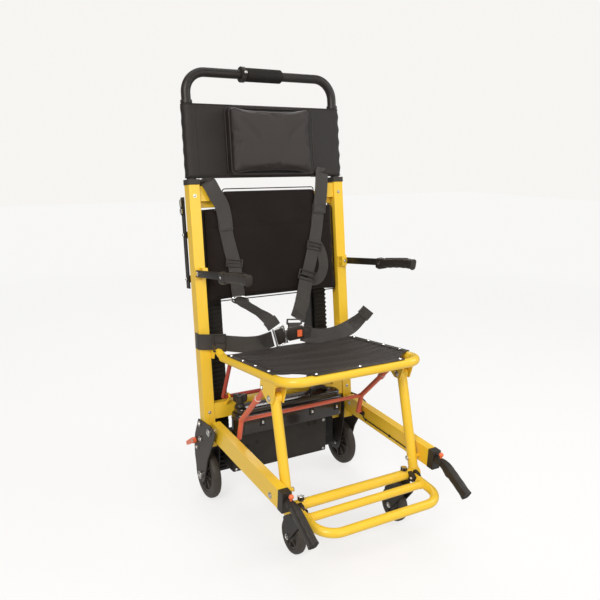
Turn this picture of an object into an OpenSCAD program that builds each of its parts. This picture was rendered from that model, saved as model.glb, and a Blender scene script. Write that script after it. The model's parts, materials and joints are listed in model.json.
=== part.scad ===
/* [Back frame] */
// Width over the outer faces of the two uprights
back_w = 520; // [480:5:560]
// Section of an upright, side to side
post_w = 33; // [30:1:36]
// Section of an upright, front to back
post_d = 36; // [34:1:40]
// Wall of the frame's rectangular tubes
tube_wall = 2; // [1.5:0.25:2.5]
// Angle by which the back leans rearwards
lean = 6.4; // [4:0.2:9]
// Height of the uprights' front datum point above the floor
post_z = 271; // [265:1:277]
// Reach of the uprights above the datum, along the lean
post_up = 672; // [640:5:700]
// Reach of the uprights below the datum, along the lean
post_down = 98; // [90:1:102]

/* [Push handle] */
// Diameter of the push handle's tube
handle_dia = 27; // [25:1:28]
// Height of the handle's cross bar above the datum, along the lean
handle_up = 988; // [970:2:1010]
// Bend radius of the handle's corners
handle_bend = 60; // [45:5:80]
// Length of handle tube that stays inside each upright
handle_inside = 290; // [280:5:320]
// Length of the rubber sleeve on the cross bar
sleeve_len = 124; // [100:2:150]

/* [Back pads] */
// Height of the backrest's lower edge above the datum
back_low = 330; // [320:2:345]
// Height of the backrest's shoulders above the datum
back_high = 603; // [590:2:620]
// Height of the backrest's raised middle above the datum
back_peak = 662; // [650:2:668]
// Thickness of the backrest pad
back_thick = 27; // [20:1:28]
// Width of the headrest pillow
pillow_w = 280; // [250:5:300]
// Height of the headrest pillow
pillow_h = 196; // [180:2:205]
// Thickness of the headrest pillow
pillow_t = 46; // [35:1:60]

/* [Seat] */
// Diameter of the seat frame's tube
seat_dia = 25; // [22:1:26]
// Half of the spacing of the seat's side tubes
seat_half = 210; // [208:0.5:211]
// Length of the seat along its slope
seat_len = 382; // [376:1:386]
// Rise of the seat towards the front
seat_slope = 5; // [4:0.5:6]
// Bend radius of the seat frame's front corners
seat_bend = 55; // [45:5:65]

/* [Front frame] */
// Diameter of a front leg
leg_dia = 27; // [25:0.5:27]
// Half of the spacing of the front legs
leg_half = 202; // [201:0.5:203]
// Diameter of the front crossbeam
beam_dia = 28; // [26:1:30]
// Diameter of the footrest's tube
foot_dia = 24; // [22:1:25]
// Reach of the footrest ahead of its hinge
foot_reach = 118; // [100:2:130]

/* [Side rails] */
// Thickness of a side rail, side to side
rail_w = 25; // [24:0.5:26]
// Depth of a side rail
rail_h = 52; // [48:1:54]
// Diameter of a carry handle's shank
shank_dia = 17; // [15:0.5:17]

/* [Wheels] */
// Diameter of a rear wheel
rear_dia = 150; // [140:2:152]
// Width of a rear wheel's tread
rear_w = 26; // [22:1:28]
// Diameter of a front caster wheel
caster_dia = 100; // [90:2:102]
// Width of a front caster wheel's tread
caster_w = 25; // [20:1:26]
// Offset of a caster's wheel behind its stem
caster_trail = 35; // [30:1:38]

/* [Stair tracks] */
// Width of a stair track's belt
belt_w = 40; // [36:1:42]
// Thickness of a stair track's belt, without its ribs
belt_t = 7; // [6:0.5:8]
// Height of a belt rib
rib_h = 5; // [3:0.5:6]
// Number of ribs around a belt
rib_count = 90; // [60:2:110]
// Radius of the wheels that carry a belt
pulley_r = 30; // [26:1:32]
// Height of the upper belt wheels above the datum
track_top = 560; // [540:5:570]

/* [Hidden] */

// The datum is the uprights' front face at post_z; the origin is the middle of the footprint.
datum_y = 198.1;
yellow = "gold";
black = [0.13, 0.13, 0.13];
steel = [0.75, 0.75, 0.77];
red = [0.85, 0.30, 0.20];

post_x = back_w / 2 - post_w / 2;
post_in = back_w / 2 - post_w;
pin_r = 4.95;
bore_r = 5;

// Fold linkage, as [y, z] from the datum: rail, seat, leg top and leg foot pivots.
rail_pivot = [-43, 236];
leg_foot = [-390, 196];
leg_top = [-330, 425];
seat_pivot = leg_top + rail_pivot - leg_foot;
brace_pivot = [-292, 443];
beam_at = [-400, 153];
rail_slope = 4.1;
rail_mid_x = 236.5;
rail_in = rail_mid_x - rail_w / 2;
cable_x = rail_in - 1.7;
seat_rear = [-30, 450];
carry_x = 235;
button_y = -421;
bail_pivot = [-7, 322];
bail_top = [-59, 436];
pedal_pivot = [66, 172];
arm_x = 256;
arm_up = 420;
caster_at = [166, -400];
rear_x = 241;
rear_axle = [26, rear_dia / 2];
axle_r = 6;
// The drive shaft, from the datum in the leaning frame and from the floor.
shaft_y = 86.5;
shaft_z = -165;
shaft_r = 8;
shaft_from_floor = [shaft_y * cos(lean) + shaft_z * sin(lean),
    post_z - shaft_y * sin(lean) + shaft_z * cos(lean)];
foot_hinge = [-424, 152];
foot_tilt = 6;
rib_w = 9;

module chair() translate([0, datum_y, 0]) children();
module on_back() chair() translate([0, 0, post_z]) rotate([-lean, 0, 0]) children();
module on_seat() chair() translate([0, seat_rear[0], seat_rear[1]]) rotate([-seat_slope, 0, 0]) children();
module both() for (side = [-1, 1]) scale([side, 1, 1]) children();
module at_side(side) scale([side, 1, 1]) children();
module at(p) translate([0, p[0], p[1]]) children();

// A round bar along X, from x0 to x1, about [y, z].
module x_bar(x0, x1, r, p = [0, 0], n = 48)
    translate([x0, p[0], p[1]]) rotate([0, 90, 0]) cylinder(h = x1 - x0, r = r, $fn = n);

// A round bar between two points.
module bar(a, b, r, n = 48) {
    v = b - a;
    flat = norm([v[0], v[1]]);
    translate(a) rotate([0, atan2(flat, v[2]), atan2(v[1], v[0])]) cylinder(h = norm(v), r = r, $fn = n);
}

// A plate across X, from x0 to x1, from [y, z] points.
module x_plate(x0, x1, pts)
    translate([x0, 0, 0]) rotate([90, 0, 90]) linear_extrude(x1 - x0) polygon(pts);

module box(lo, hi) translate(lo) cube(hi - lo);

// A quarter bend of tube about Z, centred at the bend's own centre.
module bend(radius, r, turn = 90, n = 48)
    rotate_extrude(angle = turn, $fn = n) translate([radius, 0]) circle(r = r, $fn = n);

module rounded_box(lo, hi, r) {
    size = hi - lo;
    translate([lo[0], lo[1], lo[2]]) linear_extrude(size[2])
        translate([r, r]) offset(r = r, $fn = 32) square([size[0] - 2 * r, size[1] - 2 * r]);
}

module tube_box(lo, hi, wall, along) {
    grow = [for (i = [0:2]) i == along ? -1 : wall];
    difference() {
        box(lo, hi);
        box(lo + grow, hi - grow);
    }
}

// Back frame -------------------------------------------------------------------------------------

module uprights() color(yellow) on_back() both()
    tube_box([post_in, 0, -post_down], [back_w / 2, post_d, post_up], tube_wall, 2);

module upright_caps() color(black) on_back() both() difference() {
    box([post_in - 1.5, -1.5, post_up], [back_w / 2 + 1.5, post_d + 1.5, post_up + 15]);
    translate([post_x, 18, post_up - 1]) cylinder(h = 17, r = handle_dia / 2 + 0.06, $fn = 64);
}

module top_crossbar() color(yellow) on_back() {
    tube_box([-post_in, post_d - 12, 606], [post_in, post_d, 646], tube_wall, 0);
    both() box([197, 6, 624], [post_in, 24, 668]);
}

module middle_crossbar() color(yellow) on_back()
    tube_box([-post_in, post_d - 8, 350], [post_in, post_d + 4, 390], tube_wall, 0);

module base_crossbar() color(yellow) {
    on_back() tube_box([-post_in, 2, -15], [post_in, 30, 32], tube_wall, 0);
    chair() both() difference() {
        x_plate(184, 189, [[3, 292], [14, 304], [4, 330], [-12, 334], [-20, 324], [-16, 312], [-1, 300]]);
        x_bar(180, 195, 6.06, bail_pivot);
    }
}

module lower_crossbar() color(yellow) on_back()
    tube_box([-218.5, 18, -post_down], [218.5, 34, -80], tube_wall, 0);

module arm_brackets() color(yellow) on_back() both() {
    difference() {
        union() {
            box([post_in + 1, -4, arm_up - 17], [back_w / 2 + 1, 0, arm_up + 17]);
            box([post_in + 3, -26, arm_up - 15], [246, -4, arm_up + 15]);
        }
        x_bar(post_in, 247, bore_r - 0.05, [-17, arm_up]);
    }
    x_bar(post_in + 5, 265, pin_r, [-17, arm_up]);
}

module seat_brackets() color(yellow) chair() both() {
    x_plate(222.6, post_in, [[5, 440], [38, 436], [45, 490], [12, 492], [1, 478], [1, 452]]);
    x_bar(197, 222.7, pin_r, seat_pivot);
}

module backrest_board() color(black) on_back()
    box([-217, 22.2, back_low + 6], [217, 26, back_high - 4]);

module backrest_pad() color(black) on_back() {
    box([-221, 22 - back_thick, back_low], [221, 22, back_high]);
    box([-156, 22 - back_thick, back_high], [156, 20, back_peak]);
}

module plate_outline(x0, x1) x_plate(x0, x1, [[-82, 246], [-46, 257], [42, 249], [70, 194], [78, 160],
    [76, 122], [62, 70], [44, 54], [20, 50], [4, 66], [-22, 142], [-50, 188], [-72, 224]]);

module side_plates() color(black) chair() both() difference() {
    plate_outline(back_w / 2 + 0.2, back_w / 2 + 4);
    x_bar(back_w / 2 - 1, back_w / 2 + 5, 5.95, rail_pivot);
    x_bar(back_w / 2 - 1, back_w / 2 + 5, axle_r, rear_axle);
}

module inner_plates() color(black) chair() both() difference() {
    x_plate(218.8, 222.6, [[-20, 214], [-12, 250], [30, 250], [44, 180], [88, 118], [90, 84], [64, 76],
        [50, 54], [20, 50], [2, 66], [-14, 140]]);
    x_bar(218, 224, shaft_r + 0.06, shaft_from_floor, 64);
    x_bar(218, 224, axle_r, rear_axle);
}

module plate_bolts() color(steel) chair() both() {
    for (p = [[26, 239], [22, 193]]) x_bar(back_w / 2 + 4, back_w / 2 + 8, 6, p);
    x_bar(back_w / 2 + 4, back_w / 2 + 8, 5, [50, 156]);
    x_bar(rail_in + 0.2, back_w / 2 + 4, 5.95, rail_pivot);
    x_bar(back_w / 2 + 4, back_w / 2 + 8, 9, rail_pivot);
    x_bar(rail_in + rail_w + 0.3, back_w / 2 + 0.2, 11, rail_pivot);
    x_bar(back_w / 2 + 4, back_w / 2 + 16, pin_r, pedal_pivot);
}

module wheel_axles() color(steel) chair() both() {
    x_bar(217, 264, axle_r, rear_axle);
    x_bar(264, 270, 10, rear_axle);
}

// Drive ------------------------------------------------------------------------------------------

module drive_housing() color(black) chair() difference() {
    box([-198, -60, 102], [125, 6, 218]);
    box([-195, -57, 105], [122, 3, 215]);
}

module drive_motor() color(steel) chair() {
    x_bar(-185, -50, 26, [-27, 160]);
    x_bar(-50, -29, 10, [-27, 160]);
    box([-30, -54, 120], [60, 0, 200]);
}

module battery_case() color(black) chair() difference() {
    union() {
        rounded_box([-190, -80, 222], [178, -18, 284], 22);
        rounded_box([-182, -74, 284], [170, -24, 300], 18);
    }
    translate([-168, -48, 280]) cylinder(h = 30, r = 5, $fn = 48);
}

module battery_catches() color(steel) chair()
    for (x = [-110, 60, 150]) box([x - 8, -82, 240], [x + 8, -80, 262]);

module battery_knob() color(black) chair() translate([-168, -48, 0]) {
    translate([0, 0, 284]) cylinder(h = 30, r = pin_r, $fn = 48);
    translate([0, 0, 301]) cylinder(h = 13, r = 13, $fn = 48);
    translate([0, 0, 314]) difference() {
        union() {
            cylinder(h = 22, r = 14, $fn = 48);
            for (a = [0, 120, 240]) rotate(a) translate([15, 0, 0]) cylinder(h = 22, r = 8.5, $fn = 48);
        }
        translate([0, 0, 18]) cylinder(h = 5, r = 6, $fn = 48);
    }
}

module release_bail() color([0.60, 0.12, 0.08]) chair() {
    x_bar(-203, 203, 6, bail_pivot);
    both() bar([203, bail_pivot[0], bail_pivot[1]], [203, bail_top[0], bail_top[1]], 5.9);
}

module brake_pedal(side) color(red) chair() at_side(side) {
    difference() {
        union() {
            x_bar(265, 275, 9, pedal_pivot);
            x_plate(265, 275, [[64, 164], [72, 180], [104, 160], [122, 148], [116, 138], [98, 148]]);
        }
        x_bar(264, 276, bore_r, pedal_pivot);
    }
}
module brake_pedal_left() brake_pedal(-1);
module brake_pedal_right() brake_pedal(1);

module rear_wheel(side) chair() at_side(side) at(rear_axle) translate([rear_x, 0, 0]) {
    color(black) rotate([0, 90, 0]) difference() {
        translate([0, 0, -rear_w / 2]) rotate_extrude($fn = 96)
            polygon([[axle_r + 0.06, 0], [axle_r + 0.06, rear_w], [rear_dia / 2 - 8, rear_w],
                [rear_dia / 2, rear_w * 0.72],
                [rear_dia / 2, rear_w * 0.28], [rear_dia / 2 - 8, 0]]);
        translate([0, 0, rear_w / 2 - 5]) rotate_extrude($fn = 96)
            polygon([[16, 0], [52, 0], [54, 6], [14, 6]]);
        translate([0, 0, -rear_w / 2 + 5]) rotate_extrude($fn = 96)
            polygon([[16, 0], [52, 0], [54, -6], [14, -6]]);
    }
}
module rear_wheel_left() rear_wheel(-1);
module rear_wheel_right() rear_wheel(1);

// Stair tracks -----------------------------------------------------------------------------------

module track_plates() color(black) on_back() both() difference() {
    for (x = [157.5, 208.5]) x_plate(x, x + 4, [[64, shaft_z - 22], [110, shaft_z - 22],
        [112, track_top - 4], [104, track_top + 22], [68, track_top + 22], [62, track_top - 4]]);
    x_bar(150, 220, shaft_r + 0.06, [shaft_y, shaft_z], 64);
    x_bar(150, 220, 6.06, [shaft_y, track_top], 64);
}

module track_spreaders() color(black) on_back() {
    for (z = [20, 350, 500]) {
        x_bar(-157.5, 157.5, 8, [shaft_y, z]);
        both() x_bar(161.5, 208.5, 8, [shaft_y, z]);
    }
    both() box([212.5, 66, 390], [251.8, 80, 410]);
    both() box([212.5, 66, 520], [251.8, 80, 540]);
}

// A ribbed belt's outline, with its lower wheel at the origin and its upper wheel along X.
module belt_profile() {
    run = track_top - shaft_z;
    mid = pulley_r + belt_t;
    turn = PI * mid;
    around = 2 * run + 2 * turn;
    difference() {
        union() {
            translate([0, -mid]) square([run, 2 * mid]);
            circle(r = mid, $fn = 96);
            translate([run, 0]) circle(r = mid, $fn = 96);
            for (i = [0:rib_count - 1]) {
                s = i * around / rib_count;
                if (s < run)
                    translate([s, mid - 1]) square([rib_w, rib_h + 1]);
                else if (s < run + turn)
                    translate([run, 0]) rotate(-(s - run) / turn * 180)
                        translate([-rib_w / 2, mid - 1]) square([rib_w, rib_h + 1]);
                else if (s < 2 * run + turn)
                    translate([2 * run + turn - s, -mid - rib_h]) square([rib_w, rib_h + 1]);
                else
                    rotate(180 - (s - 2 * run - turn) / turn * 180)
                        translate([-rib_w / 2, mid - 1]) square([rib_w, rib_h + 1]);
            }
        }
        translate([0, -pulley_r]) square([run, 2 * pulley_r]);
        circle(r = pulley_r, $fn = 96);
        translate([run, 0]) circle(r = pulley_r, $fn = 96);
    }
}

module track_belts() color(black) on_back() both()
    translate([165, shaft_y, shaft_z]) rotate([0, -90, 0])
        translate([0, 0, -belt_w]) linear_extrude(belt_w) belt_profile();

module track_struts() color(black) on_back() both() {
    box([252, 62, 372], [256, 84, 640]);
    x_bar(256, 259, 6, [73, 400]);
    x_bar(256, 259, 6, [73, 530]);
    box([256, 66, 588], [261, 78, 634]);
}

module belt_wheel(x0, p, r_bore) difference() {
    x_bar(x0, x0 + belt_w - 2, pulley_r - 0.3, p, 96);
    x_bar(x0 - 1, x0 + belt_w, r_bore, p, 64);
    for (a = [0:60:300])
        at(p + [18 * cos(a), 18 * sin(a)]) x_bar(x0 - 1, x0 + belt_w, 5);
}

module drive_axle() color(steel) on_back() {
    x_bar(-222.6, 222.6, shaft_r, [shaft_y, shaft_z], 64);
    both() belt_wheel(166, [shaft_y, shaft_z], shaft_r);
}

module idler_axle() color(steel) on_back() {
    both() x_bar(150, 215, 6, [shaft_y, track_top], 64);
    both() belt_wheel(166, [shaft_y, track_top], 6);
}

// Push handle and headrest -----------------------------------------------------------------------

module push_handle() color(black) on_back() translate([0, 18, 0]) {
    r = handle_dia / 2;
    both() {
        translate([post_x, 0, post_up - handle_inside])
            cylinder(h = handle_up - handle_bend - post_up + handle_inside, r = r, $fn = 64);
        translate([post_x - handle_bend, 0, handle_up - handle_bend]) rotate([90, 0, 0])
            bend(handle_bend, r, 90, 64);
    }
    translate([0, 0, handle_up]) x_bar(-post_x + handle_bend, post_x - handle_bend, r, [0, 0], 64);
}

module handle_sleeve() color([0.05, 0.05, 0.05]) on_back() translate([0, 18, handle_up]) difference() {
    union() {
        x_bar(-sleeve_len / 2, sleeve_len / 2, 20, [0, 0], 64);
        x_bar(-sleeve_len / 2 - 10, -sleeve_len / 2 + 4, 23, [0, 0], 64);
    }
    x_bar(-90, 90, handle_dia / 2, [0, 0], 64);
}

module handle_collars() color(black) on_back() both() translate([post_x, 18, 900]) difference() {
    cylinder(h = 8, r = handle_dia / 2 + 3, $fn = 64);
    translate([0, 0, -1]) cylinder(h = 10, r = handle_dia / 2, $fn = 64);
}

module headrest_panel() color(black) on_back() difference() {
    union() {
        both() translate([post_x, 18, 690]) cylinder(h = 208, r = 17, $fn = 64);
        box([-post_x, 1, 690], [post_x, 5, 898]);
        box([-post_x, 31, 690], [post_x, 35, 898]);
    }
    both() translate([post_x, 18, 680]) cylinder(h = 230, r = handle_dia / 2, $fn = 64);
    box([-post_x, 5, 680], [post_x, 31, 900]);
}

module headrest_pillow() color(black) on_back()
    rounded_box_y([-pillow_w / 2, 0.6 - pillow_t, 694], [pillow_w / 2, 0.6, 694 + pillow_h], 18);

module rounded_box_y(lo, hi, r) {
    size = hi - lo;
    translate([lo[0], hi[1], lo[2]]) rotate([90, 0, 0]) linear_extrude(size[1])
        translate([r, r]) offset(r = r, $fn = 32) square([size[0] - 2 * r, size[2] - 2 * r]);
}

// Armrests ---------------------------------------------------------------------------------------

module armrest(side) color(black) on_back() at_side(side) difference() {
    union() {
        x_plate(arm_x - 4, arm_x + 4, [[-7, arm_up - 6], [-10, arm_up - 10], [-196, arm_up - 10],
            [-196, arm_up + 10], [-10, arm_up + 10], [-7, arm_up + 6]]);
        x_plate(arm_x - 9.4, arm_x + 9.4, [[-178, arm_up - 14], [-186, arm_up - 21], [-212, arm_up - 20],
            [-226, arm_up - 16], [-310, arm_up - 16], [-322, arm_up - 19], [-342, arm_up - 17],
            [-346, arm_up - 8], [-346, arm_up + 6], [-338, arm_up + 13], [-178, arm_up + 13]]);
    }
    x_bar(240, 270, bore_r, [-17, arm_up]);
}
module armrest_left() armrest(-1);
module armrest_right() armrest(1);

// Side rails and carry handles -------------------------------------------------------------------

module on_rail() chair() translate([0, -50, 231]) rotate([rail_slope, 0, 0]) children();

module side_rails() color(yellow) both() difference() {
    on_rail() translate([rail_in, 0, 0]) difference() {
        x_plate(0, rail_w, [[-381, -rail_h / 2], [-381, rail_h / 2], [22, rail_h / 2], [33, 15], [33, -15],
            [22, -rail_h / 2]]);
        box([tube_wall, -390, -rail_h / 2 + tube_wall], [rail_w - tube_wall, -30, rail_h / 2 - tube_wall]);
    }
    chair() x_bar(220, 255, 6, rail_pivot);
    chair() x_bar(220, 255, 5.5, leg_foot);
}

module rail_ends() color(black) both() on_rail() difference() {
    union() {
        box([rail_in - 0.5, -404, -27], [rail_in + rail_w + 0.5, -381, 27]);
        box([rail_in + 2.2, -381, -23], [rail_in + rail_w - 2.2, -368, 23]);
    }
    translate([carry_x, -360, 4]) rotate([90, 0, 0]) cylinder(h = 60, r = shank_dia / 2 + 0.06, $fn = 64);
}

module latch_cables() color(black) both() {
    on_rail() {
        box([217.6, -80, -3], [rail_in, -58, 9]);
        bar([cable_x, -78, -12], [cable_x, -330, -14], 1.6, 16);
        bar([cable_x, -70, -2], [cable_x, -79, -12.5], 1.5, 16);
        for (y = [-90, -210, -326]) box([cable_x - 0.5, y - 3, -17], [rail_in, y + 3, -8]);
    }
}

module carry_handle(side) color(black) on_rail() at_side(side) translate([carry_x, 0, 4]) difference() {
    union() {
        bar([0, -190, 0], [0, -436, 0], shank_dia / 2);
        hull() {
            translate([0, -416, 0]) sphere(r = 10, $fn = 24);
            translate([0, -448, -3]) sphere(r = 11, $fn = 24);
        }
        hull() {
            translate([0, -448, -3]) sphere(r = 11, $fn = 24);
            translate([0, -530, -46]) sphere(r = 11, $fn = 24);
        }
    }
    translate([0, button_y, 0]) cylinder(h = 20, r = 3.1, $fn = 32);
}
module carry_handle_left() carry_handle(-1);
module carry_handle_right() carry_handle(1);

module button(side) on_rail() at_side(side) translate([carry_x, button_y, 4]) {
    color(steel) translate([0, 0, 3.5]) cylinder(h = 16, r = 3, $fn = 32);
    color([1, 0.35, 0.15]) translate([0, 0, 21]) sphere(r = 6.5, $fn = 48);
}
module button_left() button(-1);
module button_right() button(1);

// Seat -------------------------------------------------------------------------------------------

module seat_tube() color(yellow) {
    r = seat_dia / 2;
    difference() {
        union() {
            on_seat() {
                both() bar([seat_half, 0, 0], [seat_half, -(seat_len - seat_bend), 0], r);
                both() translate([seat_half - seat_bend, -(seat_len - seat_bend), 0])
                    rotate([0, 0, -90]) bend(seat_bend, r);
                x_bar(-seat_half + seat_bend, seat_half - seat_bend, r, [-seat_len, 0]);
                x_bar(-seat_half, seat_half, 9, [-16, -1]);
            }
            chair() both() {
                bar([seat_half, seat_rear[0], seat_rear[1]], [seat_half, seat_pivot[0], seat_pivot[1]], r - 1);
                translate([seat_half, seat_rear[0], seat_rear[1]]) sphere(r = r + 0.5, $fn = 48);
                x_bar(199, 222.2, 14, seat_pivot);
            }
        }
        chair() x_bar(-230, 230, bore_r, seat_pivot);
    }
}

module seat_clevises() color(yellow) both() {
    straight = seat_len - seat_bend;
    outline = [[-283, 466], [-362, 472], [-354, 440], [-344, 413], [-320, 413], [-281, 440]];
    difference() {
        chair() {
            x_plate(184, 187.6, outline);
            x_plate(216.4, 220, outline);
            x_plate(184, 220, [[-300, 457.5], [-360, 462.5], [-360, 470], [-300, 465]]);
        }
        on_seat() {
            bar([seat_half, 0, 0], [seat_half, -straight, 0], seat_dia / 2);
            translate([seat_half - seat_bend, -straight, 0]) rotate([0, 0, -90]) bend(seat_bend, seat_dia / 2);
        }
    }
    chair() {
        x_bar(181, 223, pin_r, leg_top);
        x_bar(181, 223, 3.95, brace_pivot);
    }
}

module seat_strips() color([0.2, 0.2, 0.2]) on_seat() {
    t = seat_dia / 2;
    both() box([seat_half - 9, -315, t], [seat_half + 6, -40, t + 2.5]);
    box([-140, -seat_len - 8, t], [140, -seat_len + 8, t + 2.5]);
    color(steel) both() for (y = [-55, -130, -205, -280])
        translate([seat_half - 1, y, t + 2.5]) cylinder(h = 2, r = 4, $fn = 32);
    color(steel) for (x = [-130, 0, 130])
        translate([x, -seat_len, t + 2.5]) cylinder(h = 2, r = 4, $fn = 32);
}

module seat_fabric() color(black) on_seat() {
    t = seat_dia / 2;
    box([-seat_half + 10, -330, t - 4], [seat_half - 10, -28, t - 0.5]);
    box([-138, -seat_len + 12, t - 4], [138, -330, t - 0.5]);
}

module lock_brace() color(red) chair() {
    tube_r = 7.5;
    elbow = [-136, 296];
    foot = [-120, 236];
    difference() {
        union() {
            both() {
                bar([205, brace_pivot[0], brace_pivot[1]], [205, elbow[0], elbow[1]], tube_r);
                translate([205, elbow[0], elbow[1]]) sphere(r = tube_r + 0.6, $fn = 48);
                bar([205, elbow[0], elbow[1]], [205, foot[0], foot[1]], tube_r - 0.3);
                x_bar(197, 213, 8.5, brace_pivot);
                bar([205, -239, 393], [205, -229, 383.6], 10);
            }
            x_bar(-205, 205, 5.5, elbow);
        }
        both() x_bar(190, 220, 4, brace_pivot);
    }
    both() x_bar(205, 217, 4, foot);
}

// Front legs, footrest and casters ---------------------------------------------------------------

module front_legs() color(yellow) chair() both() {
    difference() {
        union() {
            bar([leg_half, leg_top[0], leg_top[1]], [leg_half, beam_at[0], beam_at[1]], leg_dia / 2);
            x_bar(188.6, 215.4, leg_dia / 2, leg_top);
        }
        x_bar(180, 225, bore_r, leg_top);
        x_bar(150, 225, beam_dia / 2, beam_at);
    }
    color(steel) x_bar(183, 248.5, 4.9, leg_foot);
}

module front_crossbeam() color(yellow) chair() {
    difference() {
        x_bar(-leg_half - 13.5, leg_half + 13.5, beam_dia / 2, beam_at);
        both() translate([caster_at[0], caster_at[1], 120]) cylinder(h = 80, r = 6.06, $fn = 48);
    }
    color(black) both() difference() {
        for (x = [173, 190.3])
            x_plate(x, x + 8.7, [[-408, 164], [-430, 160], [-434, 152], [-430, 144], [-408, 141]]);
        x_bar(150, 225, beam_dia / 2, beam_at);
    }
    color(black) both() x_bar(173.5, 198.5, pin_r, foot_hinge);
}

module footrest() color(yellow) chair() at(foot_hinge) rotate([foot_tilt, 0, 0]) {
    r = foot_dia / 2;
    half = 186;
    turn = 56;
    both() {
        bar([half, -17, 0], [half, -foot_reach + turn, 0], r);
        translate([half - turn, -foot_reach + turn, 0]) rotate([0, 0, -90]) bend(turn, r);
        difference() {
            union() {
                x_bar(half - 4, half + 4, 9.5);
                box([half - 4, -20, -9.5], [half + 4, 0, 9.5]);
            }
            x_bar(half - 5, half + 5, bore_r);
        }
    }
    x_bar(-half + turn, half - turn, r, [-foot_reach, 0]);
    x_bar(-half, half, r - 1, [-36, 0]);
}

module caster_fork(side) color(black) chair() at_side(side) translate([caster_at[0], caster_at[1], 0]) {
    translate([0, 0, 130]) cylinder(h = 46, r = 6, $fn = 48);
    color(steel) translate([0, 0, 168]) cylinder(h = 8, r = 10, $fn = 6);
    translate([0, 0, 118]) cylinder(h = 16, r = 19, $fn = 48);
    difference() {
        union() {
            x_plate(-20, 20, [[-24, 118], [-20, 104], [caster_trail - 8, 44], [caster_trail + 9, 42],
                [caster_trail + 16, 56], [58, 96], [40, 114], [14, 120]]);
        }
        x_plate(-14.5, 14.5, [[-40, 104], [-40, 0], [80, 0], [90, 90], [34, 106], [4, 109]]);
    }
    x_bar(-23, 23, 5.95, [caster_trail, caster_dia / 2]);
}
module caster_fork_left() caster_fork(-1);
module caster_fork_right() caster_fork(1);

module caster_wheel(side) color([0.2, 0.2, 0.2]) chair() at_side(side)
    translate([caster_at[0], caster_at[1] + caster_trail, caster_dia / 2]) rotate([0, 90, 0]) difference() {
        translate([0, 0, -caster_w / 2]) rotate_extrude($fn = 96)
            polygon([[6, 0], [6, caster_w], [caster_dia / 2 - 7, caster_w], [caster_dia / 2, caster_w * 0.7],
                [caster_dia / 2, caster_w * 0.3], [caster_dia / 2 - 7, 0]]);
        for (z = [-caster_w / 2 - 1, caster_w / 2 - 4]) translate([0, 0, z]) difference() {
            cylinder(h = 5, r = 33, $fn = 96);
            translate([0, 0, -1]) cylinder(h = 7, r = 13, $fn = 64);
        }
    }
module caster_wheel_left() caster_wheel(-1);
module caster_wheel_right() caster_wheel(1);

// Harness ----------------------------------------------------------------------------------------

// Sections of a strap that runs up and down, and of one that runs sideways.
across = [42, 3, 3];
upright = [3, 3, 40];

module webbing(points, section)
    for (i = [0:len(points) - 2]) hull() {
        translate(points[i]) cube(section, center = true);
        translate(points[i + 1]) cube(section, center = true);
    }

module shoulder_straps() color(black) {
    on_back() {
        webbing([[-200, 0, 672], [-185, -10, 642], [-168, -11, 611], [-159, -12, 538], [-140, -13, 441],
            [-134, -15, 345]], across);
        webbing([[178, -3, 684], [178, -9, 674], [171, -11, 640], [161, -12, 578], [136, -13, 476],
            [104, -15, 385]], across);
    }
    chair() {
        webbing([[-134, 23.6, 615.5], [-112, -4, 584], [-74, -42, 550], [-40, -57, 522]], across);
        webbing([[104, 28, 655], [86, 14, 612], [62, -14, 582], [40, -38, 560], [14, -56, 526]], across);
    }
}

module lap_belts() color(black) chair() {
    webbing([[-263, 45, 493], [-263, 18, 493], [-242, 12, 493], [-226, -4, 494], [-198, -8, 493],
        [-150, -24, 488], [-100, -48, 488], [-66, -57, 500]], upright);
    webbing([[42, -58, 495], [90, -55, 490], [148, -42, 488], [205, -32, 490], [245, -38, 498],
        [271, -48, 518]], upright);
}

// Buckle with its steel tongue; the button's well is 3.5 mm deeper than the button at rest.
module buckle() chair() {
    color(black) difference() {
        box([-13, -67, 483], [37, -53, 521]);
        box([13.5, -68, 491.5], [30.5, -59.5, 512.5]);
    }
    color(steel) box([-60, -61, 486], [-13, -58.5, 518]);
}

module buckle_button() color(red) chair() box([14, -70, 492], [30, -63, 512]);

uprights();
upright_caps();
top_crossbar();
middle_crossbar();
base_crossbar();
lower_crossbar();
arm_brackets();
seat_brackets();
backrest_board();
backrest_pad();
side_plates();
inner_plates();
plate_bolts();
drive_housing();
drive_motor();
wheel_axles();
battery_case();
battery_catches();
battery_knob();
release_bail();
brake_pedal_left();
brake_pedal_right();
rear_wheel_left();
rear_wheel_right();
track_plates();
track_spreaders();
track_belts();
track_struts();
drive_axle();
idler_axle();
push_handle();
handle_sleeve();
handle_collars();
headrest_panel();
headrest_pillow();
armrest_left();
armrest_right();
side_rails();
rail_ends();
latch_cables();
carry_handle_left();
carry_handle_right();
button_left();
button_right();
seat_tube();
seat_clevises();
seat_strips();
seat_fabric();
lock_brace();
front_legs();
front_crossbeam();
footrest();
caster_fork_left();
caster_fork_right();
caster_wheel_left();
caster_wheel_right();
shoulder_straps();
lap_belts();
buckle();
buckle_button();
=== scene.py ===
"""The looks of a folding stair chair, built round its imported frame."""
import json
import math

import bmesh
import bpy
from mathutils import Matrix, Vector, noise


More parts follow.
